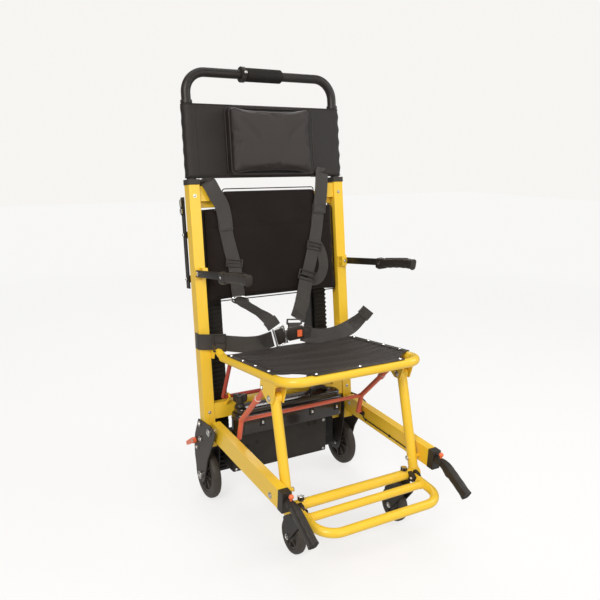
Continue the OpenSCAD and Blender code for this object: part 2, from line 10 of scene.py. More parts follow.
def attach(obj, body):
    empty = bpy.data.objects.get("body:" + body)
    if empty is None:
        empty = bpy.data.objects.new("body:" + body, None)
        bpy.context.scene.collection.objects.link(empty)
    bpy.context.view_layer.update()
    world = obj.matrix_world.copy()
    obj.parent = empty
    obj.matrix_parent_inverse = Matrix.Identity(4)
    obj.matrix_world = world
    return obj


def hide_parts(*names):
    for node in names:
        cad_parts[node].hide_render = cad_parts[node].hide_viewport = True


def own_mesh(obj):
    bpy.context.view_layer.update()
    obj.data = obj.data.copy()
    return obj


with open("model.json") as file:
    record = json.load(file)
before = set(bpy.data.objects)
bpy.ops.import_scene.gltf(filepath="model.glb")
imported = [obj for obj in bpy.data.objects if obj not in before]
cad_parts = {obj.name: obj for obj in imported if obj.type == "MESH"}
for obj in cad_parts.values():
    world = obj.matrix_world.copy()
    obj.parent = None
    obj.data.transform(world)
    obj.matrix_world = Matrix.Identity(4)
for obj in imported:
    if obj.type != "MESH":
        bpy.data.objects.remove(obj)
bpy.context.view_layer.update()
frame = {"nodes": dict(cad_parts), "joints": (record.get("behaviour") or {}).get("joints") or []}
scene = bpy.context.scene

# Places ------------------------------------------------------------------------------------------

JOINTS = {j["name"]: j for j in frame["joints"]}
LEAN = math.asin(JOINTS["handle_extend"]["axis"][1])
RAIL_SLOPE = math.asin(-JOINTS["carry_handle_left"]["axis"][2])
SEAT_SLOPE = math.radians(5)
MM = Matrix.Scale(0.001, 4)
DATUM = Vector((0, JOINTS["rail_fold"]["pos_m"][1] + 0.043, 0))


def local_frame(y, z, tilt):
    """Millimetres in a leaning frame, to metres in the object's own frame."""
    start = DATUM + Vector((0, y, z)) / 1000
    return Matrix.Translation(start) @ Matrix.Rotation(tilt, 4, "X") @ MM


CHAIR = local_frame(0, 0, 0)
BACK = local_frame(0, 271, -LEAN)
SEAT = local_frame(-30, 450, -SEAT_SLOPE)
RAIL = local_frame(-50, 231, RAIL_SLOPE)
POST_X = 243.5
REAR_AXLE = (241, 26, 75)
CASTER_AXLE = (166, -365, 50)
BACK_NORMAL = Vector((0, -1, 0))

# Camera, light and floor -------------------------------------------------------------------------


def make_camera():
    data = bpy.data.cameras.new("camera")
    data.sensor_width = 36
    data.lens = 41.16
    data.clip_end = 50
    cam = bpy.data.objects.new("camera", data)
    scene.collection.objects.link(cam)
    cam.location = DATUM + Vector((-0.9771, -1.7756, 1.0351))
    turn = Matrix.Rotation(math.radians(-30.34), 4, "Z")
    pitch = Matrix.Rotation(math.radians(90 - 12.31), 4, "X")
    roll = Matrix.Rotation(math.radians(0.34), 4, "Z")
    cam.rotation_euler = (turn @ pitch @ roll).to_euler()
    scene.camera = cam


def make_light(name, at, aim, size, power, tint=(1, 1, 1)):
    data = bpy.data.lights.new(name, "AREA")
    data.shape = "RECTANGLE"
    data.size, data.size_y = size
    data.energy = power
    data.color = tint
    lamp = bpy.data.objects.new(name, data)
    scene.collection.objects.link(lamp)
    lamp.location = at
    lamp.rotation_euler = (Vector(aim) - Vector(at)).to_track_quat("-Z", "Y").to_euler()


def make_studio():
    world = bpy.data.worlds.new("studio")
    scene.world = world
    world.use_nodes = True
    tree = world.node_tree
    back = tree.nodes["Background"]
    back.inputs["Color"].default_value = (1.0, 0.985, 0.96, 1)
    seen = tree.nodes.new("ShaderNodeLightPath").outputs["Is Camera Ray"]
    strength = tree.nodes.new("ShaderNodeMapRange")
    strength.inputs["To Min"].default_value = 0.24
    strength.inputs["To Max"].default_value = 0.93
    tree.links.new(seen, strength.inputs["Value"])
    tree.links.new(strength.outputs["Result"], back.inputs["Strength"])
    make_light("key", (-2.6, -2.4, 2.7), (0, 0, 0.6), (1.6, 1.6), 112, (1, 0.955, 0.90))
    make_light("front", (0.6, -3.6, 1.5), (0, 0, 0.5), (2.2, 1.6), 34, (1, 0.97, 0.93))
    make_light("fill", (2.8, -1.2, 2.2), (0, 0, 0.6), (1.4, 2.0), 36)
    make_light("rim", (0.8, 2.8, 2.8), (0, 0, 0.7), (2.4, 1.4), 40)
    make_light("top", (0, 0, 4.2), (0, 0, 0), (3.4, 3.4), 44)
    floor_mesh = bpy.data.meshes.new("floor")
    edge = 12.0
    corners = [(-edge, -edge, 0), (edge, -edge, 0), (edge, edge, 0), (-edge, edge, 0)]
    floor_mesh.from_pydata(corners, [], [(0, 1, 2, 3)])
    floor = bpy.data.objects.new("floor", floor_mesh)
    floor.location.z = -0.0005
    scene.collection.objects.link(floor)
    # The paper brightens with distance, so that it meets the backdrop without a line.
    pale = bpy.data.materials.new("floor_paper")
    pale.use_nodes = True
    shader = pale.node_tree.nodes["Principled BSDF"]
    shader.inputs["Roughness"].default_value = 0.9
    shader.inputs["Specular IOR Level"].default_value = 0.1
    shader.inputs["Emission Color"].default_value = (1, 0.995, 0.985, 1)
    nodes, link = pale.node_tree.nodes, pale.node_tree.links.new
    reach = nodes.new("ShaderNodeVectorMath")
    reach.operation = "LENGTH"
    link(nodes.new("ShaderNodeTexCoord").outputs["Object"], reach.inputs[0])
    near_shade, near_glow, far_glow = 0.24, 0.72, 0.93
    fade = nodes.new("ShaderNodeMapRange")
    fade.inputs["From Min"].default_value = 0.3
    fade.inputs["From Max"].default_value = 4.5
    fade.inputs["To Min"].default_value = near_shade
    fade.inputs["To Max"].default_value = 0.0
    link(reach.outputs["Value"], fade.inputs["Value"])
    link(fade.outputs["Result"], shader.inputs["Base Color"])
    glow = nodes.new("ShaderNodeMapRange")
    glow.inputs["From Min"].default_value = near_shade
    glow.inputs["From Max"].default_value = 0.0
    glow.inputs["To Min"].default_value = near_glow
    glow.inputs["To Max"].default_value = far_glow
    link(fade.outputs["Result"], glow.inputs["Value"])
    seen_floor = nodes.new("ShaderNodeMix")
    link(nodes.new("ShaderNodeLightPath").outputs["Is Camera Ray"], seen_floor.inputs["Factor"])
    seen_floor.inputs["A"].default_value = 0.42
    link(glow.outputs["Result"], seen_floor.inputs["B"])
    link(seen_floor.outputs["Result"], shader.inputs["Emission Strength"])
    floor_mesh.materials.append(pale)
    scene.view_settings.view_transform = "Standard"
    scene.view_settings.exposure = 0.0


make_camera()
make_studio()

# Shared node groups ------------------------------------------------------------------------------


class Nodes:
    """A short way to write a node tree. Inputs go by name, or as i0, i1 and so on by number."""

    def __init__(self, tree):
        self.tree = tree

    def add(self, kind, settings=None, **inputs):
        node = self.tree.nodes.new(kind)
        for key, value in (settings or {}).items():
            setattr(node, key, value)
        for key, value in inputs.items():
            by_number = key[0] == "i" and key[1:].isdigit()
            socket = node.inputs[int(key[1:]) if by_number else key.replace("_", " ")]
            if isinstance(value, bpy.types.NodeSocket):
                self.tree.links.new(value, socket)
            else:
                socket.default_value = value
        return node

    def math(self, operation, *values, clamp=False):
        inputs = {f"i{i}": v for i, v in enumerate(values)}
        return self.add("ShaderNodeMath", {"operation": operation, "use_clamp": clamp}, **inputs).outputs[0]

    def link(self, a, b):
        self.tree.links.new(a, b)


def new_group(name, inputs, outputs):
    """A shader group with named sockets: (name, kind, default) in, (name, kind) out."""
    tree = bpy.data.node_groups.new(name, "ShaderNodeTree")
    for label, kind, value in inputs:
        socket = tree.interface.new_socket(label, in_out="INPUT", socket_type=f"NodeSocket{kind}")
        if value is not None:
            socket.default_value = value
    for label, kind in outputs:
        tree.interface.new_socket(label, in_out="OUTPUT", socket_type=f"NodeSocket{kind}")
    n = Nodes(tree)
    return n, n.add("NodeGroupInput").outputs, n.add("NodeGroupOutput").inputs


def make_grain_group():
    """Moulded grain or orange peel: a fine height and a slow tone."""
    n, given, out = new_group("surface_grain", [("Scale", "Float", 900.0), ("Slow Scale", "Float", 9.0)],
                              [("Height", "Float"), ("Tone", "Float")])
    place = n.add("ShaderNodeTexCoord").outputs["Object"]
    fine = n.add("ShaderNodeTexNoise", Vector=place, Scale=given["Scale"], Detail=3.0, Roughness=0.6)
    cells = n.add("ShaderNodeTexVoronoi", Vector=place, Scale=given["Scale"])
    slow = n.add("ShaderNodeTexNoise", Vector=place, Scale=given["Slow Scale"], Detail=5.0, Roughness=0.62)
    n.link(n.math("ADD", fine.outputs["Fac"], n.math("MULTIPLY", cells.outputs["Distance"], 0.5)),
           out["Height"])
    n.link(slow.outputs["Fac"], out["Tone"])
    return n.tree


def make_wear_group():
    """Rubbed edges: a mask where the surface turns, broken up by noise."""
    n, given, out = new_group("edge_wear", [("Radius", "Float", 0.0015), ("Amount", "Float", 0.5)],
                              [("Mask", "Float")])
    soft = n.add("ShaderNodeBevel", {"samples": 4}, Radius=given["Radius"]).outputs["Normal"]
    flat = n.add("ShaderNodeNewGeometry").outputs["Normal"]
    dot = n.add("ShaderNodeVectorMath", {"operation": "DOT_PRODUCT"}, i0=soft, i1=flat).outputs["Value"]
    turn = n.add("ShaderNodeMapRange", Value=dot, From_Min=0.995, From_Max=0.86, To_Min=0.0,
                 To_Max=1.0).outputs["Result"]
    place = n.add("ShaderNodeTexCoord").outputs["Object"]
    patches = n.add("ShaderNodeTexNoise", Vector=place, Scale=38.0, Detail=6.0, Roughness=0.7).outputs["Fac"]
    broken = n.add("ShaderNodeMapRange", Value=patches, From_Min=0.5, From_Max=0.66).outputs["Result"]
    n.link(n.math("MULTIPLY", n.math("MULTIPLY", turn, broken), given["Amount"], clamp=True), out["Mask"])
    return n.tree


def make_smudge_group():
    """Handling marks and dust: a soft mask, stronger in patches."""
    n, given, out = new_group("smudges", [("Amount", "Float", 0.3)], [("Mask", "Float")])
    place = n.add("ShaderNodeTexCoord").outputs["Object"]
    large = n.add("ShaderNodeTexNoise", Vector=place, Scale=5.0, Detail=7.0, Roughness=0.7,
                  Distortion=0.6).outputs["Fac"]
    specks = n.add("ShaderNodeTexNoise", Vector=place, Scale=230.0, Detail=2.0).outputs["Fac"]
    patch = n.add("ShaderNodeMapRange", Value=large, From_Min=0.48, From_Max=0.72).outputs["Result"]
    dots = n.add("ShaderNodeMapRange", Value=specks, From_Min=0.62, From_Max=0.74).outputs["Result"]
    both = n.math("ADD", n.math("MULTIPLY", patch, 0.7), n.math("MULTIPLY", dots, 0.35))
    n.link(n.math("MULTIPLY", both, given["Amount"], clamp=True), out["Mask"])
    return n.tree


def make_weave_group():
    """Plain weave from two crossing sets of threads."""
    n, given, out = new_group("plain_weave", [("Along", "Float", 0.0), ("Across", "Float", 0.0),
                                              ("Threads", "Float", 1100.0)],
                              [("Height", "Float"), ("Tone", "Float")])
    along = n.math("MULTIPLY", given["Along"], given["Threads"])
    across = n.math("MULTIPLY", given["Across"], given["Threads"])
    warp = n.math("ABSOLUTE", n.math("SINE", n.math("MULTIPLY", along, math.pi)))
    weft = n.math("ABSOLUTE", n.math("SINE", n.math("MULTIPLY", across, math.pi)))
    odd = n.math("MODULO", n.math("ADD", n.math("FLOOR", along), n.math("FLOOR", across)), 2.0)
    over = n.math("ABSOLUTE", odd)
    under = n.math("SUBTRACT", 1.0, over)
    height = n.math("ADD", n.math("MULTIPLY", warp, n.math("ADD", n.math("MULTIPLY", over, 0.6), 0.4)),
                    n.math("MULTIPLY", weft, n.math("ADD", n.math("MULTIPLY", under, 0.6), 0.4)))
    n.link(height, out["Height"])
    n.link(n.math("MULTIPLY", height, 0.5), out["Tone"])
    return n.tree


GRAIN = make_grain_group()
WEAR = make_wear_group()
SMUDGE = make_smudge_group()
WEAVE = make_weave_group()


def place_group(n, tree, **inputs):
    node = n.add("ShaderNodeGroup", {"node_tree": tree}, **inputs)
    return node.outputs


def mix_colour(n, factor, a, b, blend="MIX"):
    node = n.add("ShaderNodeMix", {"data_type": "RGBA", "blend_type": blend}, i0=factor)
    for socket, value in ((node.inputs[6], a), (node.inputs[7], b)):
        if isinstance(value, bpy.types.NodeSocket):
            n.link(value, socket)
        else:
            socket.default_value = (*value, 1)
    return node.outputs[2]


def tinted(colour, share):
    return tuple(min(1.0, c * share) for c in colour)


def hard_material(name, colour, rough, grain=900.0, depth=0.00004, wear=None, dust=0.25, metallic=0.0,
                  coat=0.0, vary=0.12, slow=9.0, dust_colour=(0.15, 0.13, 0.11), shine=0.4):
    """Paint, plastic, rubber or metal with grain, slow variation, rubbed edges and handling marks."""
    mat = bpy.data.materials.new(name)
    mat.use_nodes = True
    n = Nodes(mat.node_tree)
    shader = mat.node_tree.nodes["Principled BSDF"]
    surface = place_group(n, GRAIN, Scale=grain, Slow_Scale=slow)
    marks = place_group(n, SMUDGE, Amount=dust)["Mask"]
    base = mix_colour(n, surface["Tone"], tinted(colour, 1 - vary), tinted(colour, 1 + vary))
    base = mix_colour(n, n.math("MULTIPLY", marks, 0.35), base, dust_colour)
    rough_now = n.math("ADD", n.math("MULTIPLY", surface["Tone"], 0.12), rough - 0.06)
    rough_now = n.math("ADD", rough_now, n.math("MULTIPLY", marks, 0.16), clamp=True)
    if wear:
        worn_colour, amount, radius = wear
        mask = place_group(n, WEAR, Radius=radius, Amount=amount)["Mask"]
        base = mix_colour(n, mask, base, worn_colour)
    bump = n.add("ShaderNodeBump", Height=surface["Height"], Distance=depth, Strength=1.0)
    n.link(base, shader.inputs["Base Color"])
    n.link(rough_now, shader.inputs["Roughness"])
    n.link(bump.outputs["Normal"], shader.inputs["Normal"])
    shader.inputs["Metallic"].default_value = metallic
    shader.inputs["Coat Weight"].default_value = coat
    shader.inputs["Specular IOR Level"].default_value = shine
    shader.inputs["Coat Roughness"].default_value = 0.12
    return mat


def cloth_material(name, colour, threads, axes, rough=0.85, sheen=0.05, depth=0.00025, vary=0.25, uv=False,
                   shine=0.2):
    """Woven cloth. axes are the two object axes that its threads follow, or the piece's own UV."""
    mat = bpy.data.materials.new(name)
    mat.use_nodes = True
    n = Nodes(mat.node_tree)
    shader = mat.node_tree.nodes["Principled BSDF"]
    coords = n.add("ShaderNodeTexCoord")
    parts = n.add("ShaderNodeSeparateXYZ", Vector=coords.outputs["UV" if uv else "Object"]).outputs
    woven = place_group(n, WEAVE, Along=parts[axes[0]], Across=parts[axes[1]], Threads=threads)
    slow = place_group(n, GRAIN, Scale=700.0, Slow_Scale=14.0)
    lint = place_group(n, SMUDGE, Amount=0.5)["Mask"]
    base = mix_colour(n, woven["Tone"], tinted(colour, 1 - vary), tinted(colour, 1 + vary * 1.6))
    base = mix_colour(n, n.math("MULTIPLY", slow["Tone"], 0.5), base, tinted(colour, 0.6))
    base = mix_colour(n, n.math("MULTIPLY", lint, 0.10), base, (0.12, 0.10, 0.09))
    height = n.math("ADD", woven["Height"], n.math("MULTIPLY", slow["Height"], 0.3))
    bump = n.add("ShaderNodeBump", Height=height, Distance=depth, Strength=0.8)
    n.link(base, shader.inputs["Base Color"])
    n.link(n.math("ADD", n.math("MULTIPLY", woven["Tone"], 0.1), rough - 0.05, clamp=True),
           shader.inputs["Roughness"])
    n.link(bump.outputs["Normal"], shader.inputs["Normal"])
    shader.inputs["Specular IOR Level"].default_value = shine
    shader.inputs["Sheen Weight"].default_value = sheen
    shader.inputs["Sheen Roughness"].default_value = 0.45
    return mat


BARE = (0.55, 0.55, 0.56)
PRIMER = (0.55, 0.50, 0.40)
YELLOW = hard_material("yellow_powder_coat", (0.90, 0.575, 0.030), 0.38, 1400.0, 0.00003,
                       (PRIMER, 0.35, 0.0012), 0.18, coat=0.2, vary=0.05, dust_colour=(0.72, 0.56, 0.22),
                       shine=0.5)
BLACK_PAINT = hard_material("black_powder_coat", (0.015, 0.012, 0.010), 0.42, 1500.0, 0.00004,
                            (BARE, 0.30, 0.001), 0.4)
PLATE_PAINT = hard_material("plate_paint", (0.036, 0.029, 0.024), 0.45, 1300.0, 0.00005, (BARE, 0.35, 0.001),
                            0.5)
PLASTIC = hard_material("moulded_plastic", (0.026, 0.021, 0.017), 0.46, 1100.0, 0.00008, None, 0.45)
GLOSS_PLASTIC = hard_material("battery_shell", (0.016, 0.011, 0.008), 0.20, 1500.0, 0.00002, None, 0.5,
                              coat=0.5, shine=0.5)
HOUSING = hard_material("drive_housing_coat", (0.013, 0.010, 0.007), 0.50, 1300.0, 0.00006,
                        (BARE, 0.25, 0.001), 0.5)
RUBBER = hard_material("black_rubber", (0.014, 0.012, 0.010), 0.66, 900.0, 0.00008, None, 0.55, shine=0.3)
TYRE = hard_material("grey_tyre", (0.040, 0.032, 0.026), 0.52, 1000.0, 0.00006, None, 0.7,
                     dust_colour=(0.16, 0.14, 0.12))
HUB = hard_material("wheel_hub", (0.040, 0.033, 0.028), 0.42, 1200.0, 0.00004, None, 0.5)
ZINC = hard_material("zinc_plate", (0.62, 0.61, 0.59), 0.28, 1600.0, 0.00002, None, 0.35, metallic=1.0,
                     vary=0.1)
CHROME = hard_material("polished_steel", (0.80, 0.79, 0.78), 0.12, 1600.0, 0.00001, None, 0.25, metallic=1.0,
                       vary=0.05)
RED = hard_material("red_powder_coat", (0.72, 0.135, 0.070), 0.38, 1400.0, 0.00003, (PRIMER, 0.4, 0.0012),
                    0.25, coat=0.2, dust_colour=(0.5, 0.2, 0.14))
# Same red paint as the lock brace, darkened as painted shade for the release bail that sits in shadow behind
# the battery.
RED_WITH_PAINTED_SHADE = hard_material("red_coat_painted_shade", (0.40, 0.045, 0.028), 0.38, 1400.0, 0.00003,
                         (PRIMER, 0.3, 0.0012), 0.25, coat=0.2, dust_colour=(0.4, 0.1, 0.07))
ORANGE = hard_material("orange_plastic", (0.90, 0.17, 0.055), 0.30, 1200.0, 0.00003, None, 0.25, coat=0.2,
                       dust_colour=(0.7, 0.25, 0.12))
WHITE_RING = hard_material("white_nylon", (0.78, 0.73, 0.68), 0.45, 1200.0, 0.00003, None, 0.3,
                           dust_colour=(0.6, 0.55, 0.5))
STRIP = hard_material("clamp_strip", (0.050, 0.043, 0.037), 0.44, 1300.0, 0.00004, (BARE, 0.3, 0.001), 0.45)
PAD_CLOTH = cloth_material("pad_cloth", (0.0120, 0.0076, 0.0062), 640.0, (0, 2))
HEAD_CLOTH = cloth_material("headrest_nylon", (0.0130, 0.0100, 0.0080), 900.0, (0, 2), rough=0.50,
                            depth=0.00016, shine=0.4)
PILLOW_SKIN = cloth_material("pillow_cover", (0.026, 0.019, 0.017), 760.0, (0, 2), rough=0.52, shine=0.45)
SEAT_CLOTH = cloth_material("seat_cloth", (0.024, 0.017, 0.014), 700.0, (0, 1), rough=0.6, shine=0.35)
WEBBING = cloth_material("webbing", (0.027, 0.021, 0.016), 560.0, (0, 1), rough=0.36, sheen=0.08,
                         depth=0.0005, uv=True, shine=0.6)
THREAD = cloth_material("stitching_thread", (0.030, 0.024, 0.020), 1500.0, (0, 2), rough=0.6)

# Mesh helpers ------------------------------------------------------------------------------------


def merged(*parts):
    """One bmesh from several."""
    whole = bmesh.new()
    uv = whole.loops.layers.uv.new("UVMap")
    for part in parts:
        old_uv = part.loops.layers.uv.active
        made = {v: whole.verts.new(v.co) for v in part.verts}
        for face in part.faces:
            try:
                new = whole.faces.new([made[v] for v in face.verts])
            except ValueError:
                continue
            if old_uv:
                for a, b in zip(new.loops, face.loops):
                    a[uv].uv = b[old_uv].uv
        part.free()
    return whole


def moved(bm, matrix):
    bm.transform(matrix)
    return bm


def mirrored(build, *args):
    """The same shape on both sides."""
    right = build(*args)
    left = build(*args)
    left.transform(Matrix.Scale(-1, 4, Vector((1, 0, 0))))
    bmesh.ops.reverse_faces(left, faces=left.faces)
    return merged(left, right)


def piece(name, bm, place, mat, body, replaces=(), smooth=35):
    """Makes an object of a bmesh given in a frame's millimetres, and lets it ride on a body."""
    bm.transform(place)
    bmesh.ops.recalc_face_normals(bm, faces=bm.faces)
    mesh = bpy.data.meshes.new(name)
    bm.to_mesh(mesh)
    bm.free()
    mesh.materials.append(mat)
    mesh.polygons.foreach_set("use_smooth", [True] * len(mesh.polygons))
    mesh.set_sharp_from_angle(angle=math.radians(smooth))
    obj = bpy.data.objects.new(name, mesh)
    scene.collection.objects.link(obj)
    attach(obj, body)
    if replaces:
        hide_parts(*replaces)
    return obj


def block(lo, hi, bevel=1.5, segments=3):
    """A box with rounded edges."""
    bm = bmesh.new()
    bmesh.ops.create_cube(bm, size=1)
    lo, hi = Vector(lo), Vector(hi)
    size = hi - lo
    for v in bm.verts:
        v.co = Vector([lo[i] + (v.co[i] + 0.5) * size[i] for i in range(3)])
    if bevel:
        bmesh.ops.bevel(bm, geom=bm.edges[:], offset=bevel, segments=segments, affect="EDGES", profile=0.5)
    return bm


def turned(profile, centre=(0, 0, 0), steps=64):
    """A lathe shape about X: profile is [(radius, x)], closed at the axis where a radius is 0."""
    bm = bmesh.new()
    rings = []
    for radius, x in profile:
        if radius <= 0:
            rings.append([bm.verts.new((x, 0, 0))])
            continue
        rings.append([bm.verts.new((x, radius * math.cos(a), radius * math.sin(a)))
                      for a in (2 * math.pi * i / steps for i in range(steps))])
    for a, b in zip(rings, rings[1:]):
        for i in range(steps):
            j = (i + 1) % steps
            if len(a) == 1 and len(b) == 1:
                continue
            if len(a) == 1:
                bm.faces.new((a[0], b[j], b[i]))
            elif len(b) == 1:
                bm.faces.new((a[i], a[j], b[0]))
            else:
                bm.faces.new((a[i], a[j], b[j], b[i]))
    bm.transform(Matrix.Translation(Vector(centre)))
    return bm


def about(axis):
    """Turns a shape made along X to lie along another axis."""
    return Vector(axis).to_track_quat("X", "Z").to_matrix().to_4x4()


def smooth_path(points, per=8):
    """A curve through given points."""
    pts = [Vector(p) for p in points]
    ends = [pts[0] * 2 - pts[1], *pts, pts[-1] * 2 - pts[-2]]
    made = []
    for i in range(1, len(ends) - 2):
        p0, p1, p2, p3 = ends[i - 1:i + 3]
        for k in range(per):
            t = k / per
            made.append(0.5 * ((2 * p1) + (p2 - p0) * t + (2 * p0 - 5 * p1 + 4 * p2 - p3) * t * t
                               + (3 * p1 - p0 - 3 * p2 + p3) * t ** 3))
    made.append(pts[-1])
    return made


def swept(points, section, closed=False, up=Vector((0, 0, 1)), scale=None):
    """Sweeps a closed outline of (side, lift) points along a path."""
    bm = bmesh.new()
    uv = bm.loops.layers.uv.new("UVMap")
    count = len(points)
    rings, reach = [], [0.0]
    lift = None
    for i, p in enumerate(points):
        before = points[i - 1] if i or closed else p
        after = points[(i + 1) % count] if i < count - 1 or closed else p
        tangent = (after - before).normalized()
        want = up(i / (count - 1)) if callable(up) else (lift if lift is not None and up is None else up)
        if want is None:
            want = Vector((0, 0, 1)) if abs(tangent.z) < 0.9 else Vector((1, 0, 0))
        side = tangent.cross(want).normalized()
        lift = side.cross(tangent).normalized()
        k = scale(i / (count - 1)) if scale else 1.0
        kx, ky = k if isinstance(k, tuple) else (k, k)
        rings.append([bm.verts.new(p + side * a * kx + lift * b * ky) for a, b in section])
        if i:
            reach.append(reach[-1] + (p - points[i - 1]).length)
    around = [0.0]
    for (a, b), (c, d) in zip(section, section[1:] + section[:1]):
        around.append(around[-1] + math.hypot(c - a, d - b))
    spans = count if closed else count - 1
    size = len(section)
    for i in range(spans):
        a, b = rings[i], rings[(i + 1) % count]
        for j in range(size):
            k = (j + 1) % size
            face = bm.faces.new((a[j], a[k], b[k], b[j]))
            far = reach[i + 1] if i + 1 < count else reach[i] + 1
            for loop, (u, v) in zip(face.loops, ((around[j], reach[i]), (around[j + 1], reach[i]),
                                                 (around[j + 1], far), (around[j], far))):
                loop[uv].uv = (u / 1000, v / 1000)
    if not closed:
        bm.faces.new(rings[0])
        bm.faces.new(rings[-1][::-1])
    return bm


def round_section(radius, sides=16, flat=1.0):
    return [(radius * math.cos(2 * math.pi * i / sides), radius * flat * math.sin(2 * math.pi * i / sides))
            for i in range(sides)]


def soft_rectangle(width, height, corner, steps=3):
    """The outline of a rounded rectangle."""
    out = []
    for sx, sy, start in ((1, 1, 0), (-1, 1, 90), (-1, -1, 180), (1, -1, 270)):
        for i in range(steps + 1):
            a = math.radians(start + 90 * i / steps)
            out.append((sx * (width / 2 - corner) + corner * math.cos(a),
                        sy * (height / 2 - corner) + corner * math.sin(a)))
    return out


def rod(points, radius, sides=16):
    return swept([Vector(p) for p in points], round_section(radius, sides), up=None)


def strap(points, width, thick=2.2, facing=BACK_NORMAL, per=8, wave=0.6):
    """Webbing along given points. facing is the way its face looks, or a list of one for each point."""
    path = smooth_path(points, per)
    faces = [Vector(f) for f in facing] if isinstance(facing, list) else [Vector(facing)] * len(points)
    last = len(faces) - 1

    def looks(t):
        at = t * last
        i = min(int(at), last - 1) if last else 0
        return faces[i].lerp(faces[min(i + 1, last)], at - i).normalized()

    cross = width / 2
    half = thick / 2
    section = [(-cross, -half), (-cross * 0.5, -half), (0, -half), (cross * 0.5, -half), (cross, -half),
               (cross + 0.5, 0), (cross, half), (cross * 0.5, half), (0, half), (-cross * 0.5, half),
               (-cross, half), (-cross - 0.5, 0)]
    bm = swept(path, section, up=looks)
    for v in bm.verts:
        v.co += Vector((0, wave * noise.noise(v.co * 0.03), 0))
    return bm


def stitches(a, b, face, pitch=4.0, length=2.6, radius=0.45):
    """A row of short threads from a to b that stand on a face looking the given way."""
    a, b, face = Vector(a), Vector(b), Vector(face).normalized()
    count = max(2, int((b - a).length / pitch))
    along = (b - a).normalized()
    parts = []
    for i in range(count):
        middle = a.lerp(b, (i + 0.5) / count)
        ends = [middle - along * length / 2 - face * 0.3, middle + face * 0.25,
                middle + along * length / 2 - face * 0.3]
        parts.append(swept(ends, round_section(radius, 5), up=face))
    return merged(*parts)


def cap_screw(centre, axis, radius=5.0, height=3.2):
    """A button-head screw with a hexagon socket."""
    dome = [(0, height * 0.35), (radius * 0.42, height * 0.35), (radius * 0.46, height),
            (radius * 0.7, height * 0.92), (radius * 0.93, height * 0.55), (radius, 0), (radius * 1.3, 0),
            (radius * 1.3, -0.6), (0, -0.6)]
    bm = turned([(r, h) for r, h in dome], steps=24)
    return moved(bm, Matrix.Translation(Vector(centre)) @ about(axis))


def hex_bolt(centre, axis, radius=6.5, height=4.5):
    """A hexagon head on a washer."""
    head = turned([(0, height), (radius * 0.82, height), (radius, height * 0.75), (radius, 0.8), (0, 0.8)],
                  steps=6)
    washer = turned([(0, 0.9), (radius * 1.35, 0.9), (radius * 1.45, 0.5), (radius * 1.45, -0.4), (0, -0.4)],
                    steps=32)
    return moved(merged(head, washer), Matrix.Translation(Vector(centre)) @ about(axis))


def weld_bead(centre, axis, radius, size=1.6, part=1.0):
    """A run of overlapping weld scales round a joint."""
    frame_at = Matrix.Translation(Vector(centre)) @ about(axis)
    steps = max(24, int(radius * 3))
    path = [Vector((0, radius * math.cos(a), radius * math.sin(a)))
            for a in (2 * math.pi * part * i / steps for i in range(steps))]
    bm = swept(path, round_section(size, 8), closed=part >= 1, up=Vector((1, 0, 0)),
               scale=lambda t: 0.85 + 0.25 * abs(math.sin(t * steps * 0.9)))
    return moved(bm, frame_at)


def evaluated_mesh(obj):
    graph = bpy.context.evaluated_depsgraph_get()
    graph.update()
    return bpy.data.meshes.new_from_object(obj.evaluated_get(graph), depsgraph=graph)


def puff(obj, voxel, pressure, cap, frames=20, hold=None):
    """Fills a closed soft shape by cloth simulation and keeps the result."""
    remesh = obj.modifiers.new("voxels", "REMESH")
    remesh.mode = "VOXEL"
    remesh.voxel_size = voxel
    obj.data = evaluated_mesh(obj)
    obj.modifiers.clear()
    start = [v.co.copy() for v in obj.data.vertices]
    cloth = obj.modifiers.new("cloth", "CLOTH")
    cloth.settings.use_pressure = True
    cloth.settings.uniform_pressure_force = pressure
    cloth.settings.effector_weights.gravity = 0
    cloth.settings.quality = 4
    cloth.settings.mass = 0.3
    cloth.settings.tension_stiffness = 25
    cloth.settings.compression_stiffness = 25
    cloth.settings.bending_stiffness = 0.6
    cloth.point_cache.frame_start = 1
    cloth.point_cache.frame_end = frames
    for step in range(1, frames + 1):
        scene.frame_set(step)
    obj.data = evaluated_mesh(obj)
    obj.modifiers.clear()
    scene.frame_set(1)
    for v, old in zip(obj.data.vertices, start):
        step = v.co - old
        if step.length > cap:
            v.co = old + step.normalized() * cap
        if hold:
            v.co = hold(v.co)
    return obj


def soft_piece(name, bm, place, mat, body, replaces, voxel, pressure, cap, hold=None, shape=None):
    """A stuffed piece: remeshed, filled, then shaped and subdivided."""
    obj = piece(name, bm, place, mat, body, replaces, smooth=180)
    puff(obj, voxel, pressure, cap, hold=hold)
    if shape:
        for v in obj.data.vertices:
            v.co = shape(v.co)
    obj.data.materials.clear()
    obj.data.materials.append(mat)
    obj.data.polygons.foreach_set("use_smooth", [True] * len(obj.data.polygons))
    sub = obj.modifiers.new("subdivide", "SUBSURF")
    sub.levels = sub.render_levels = 1
    return obj

# CAD pieces that keep their shape ----------------------------------------------------------------


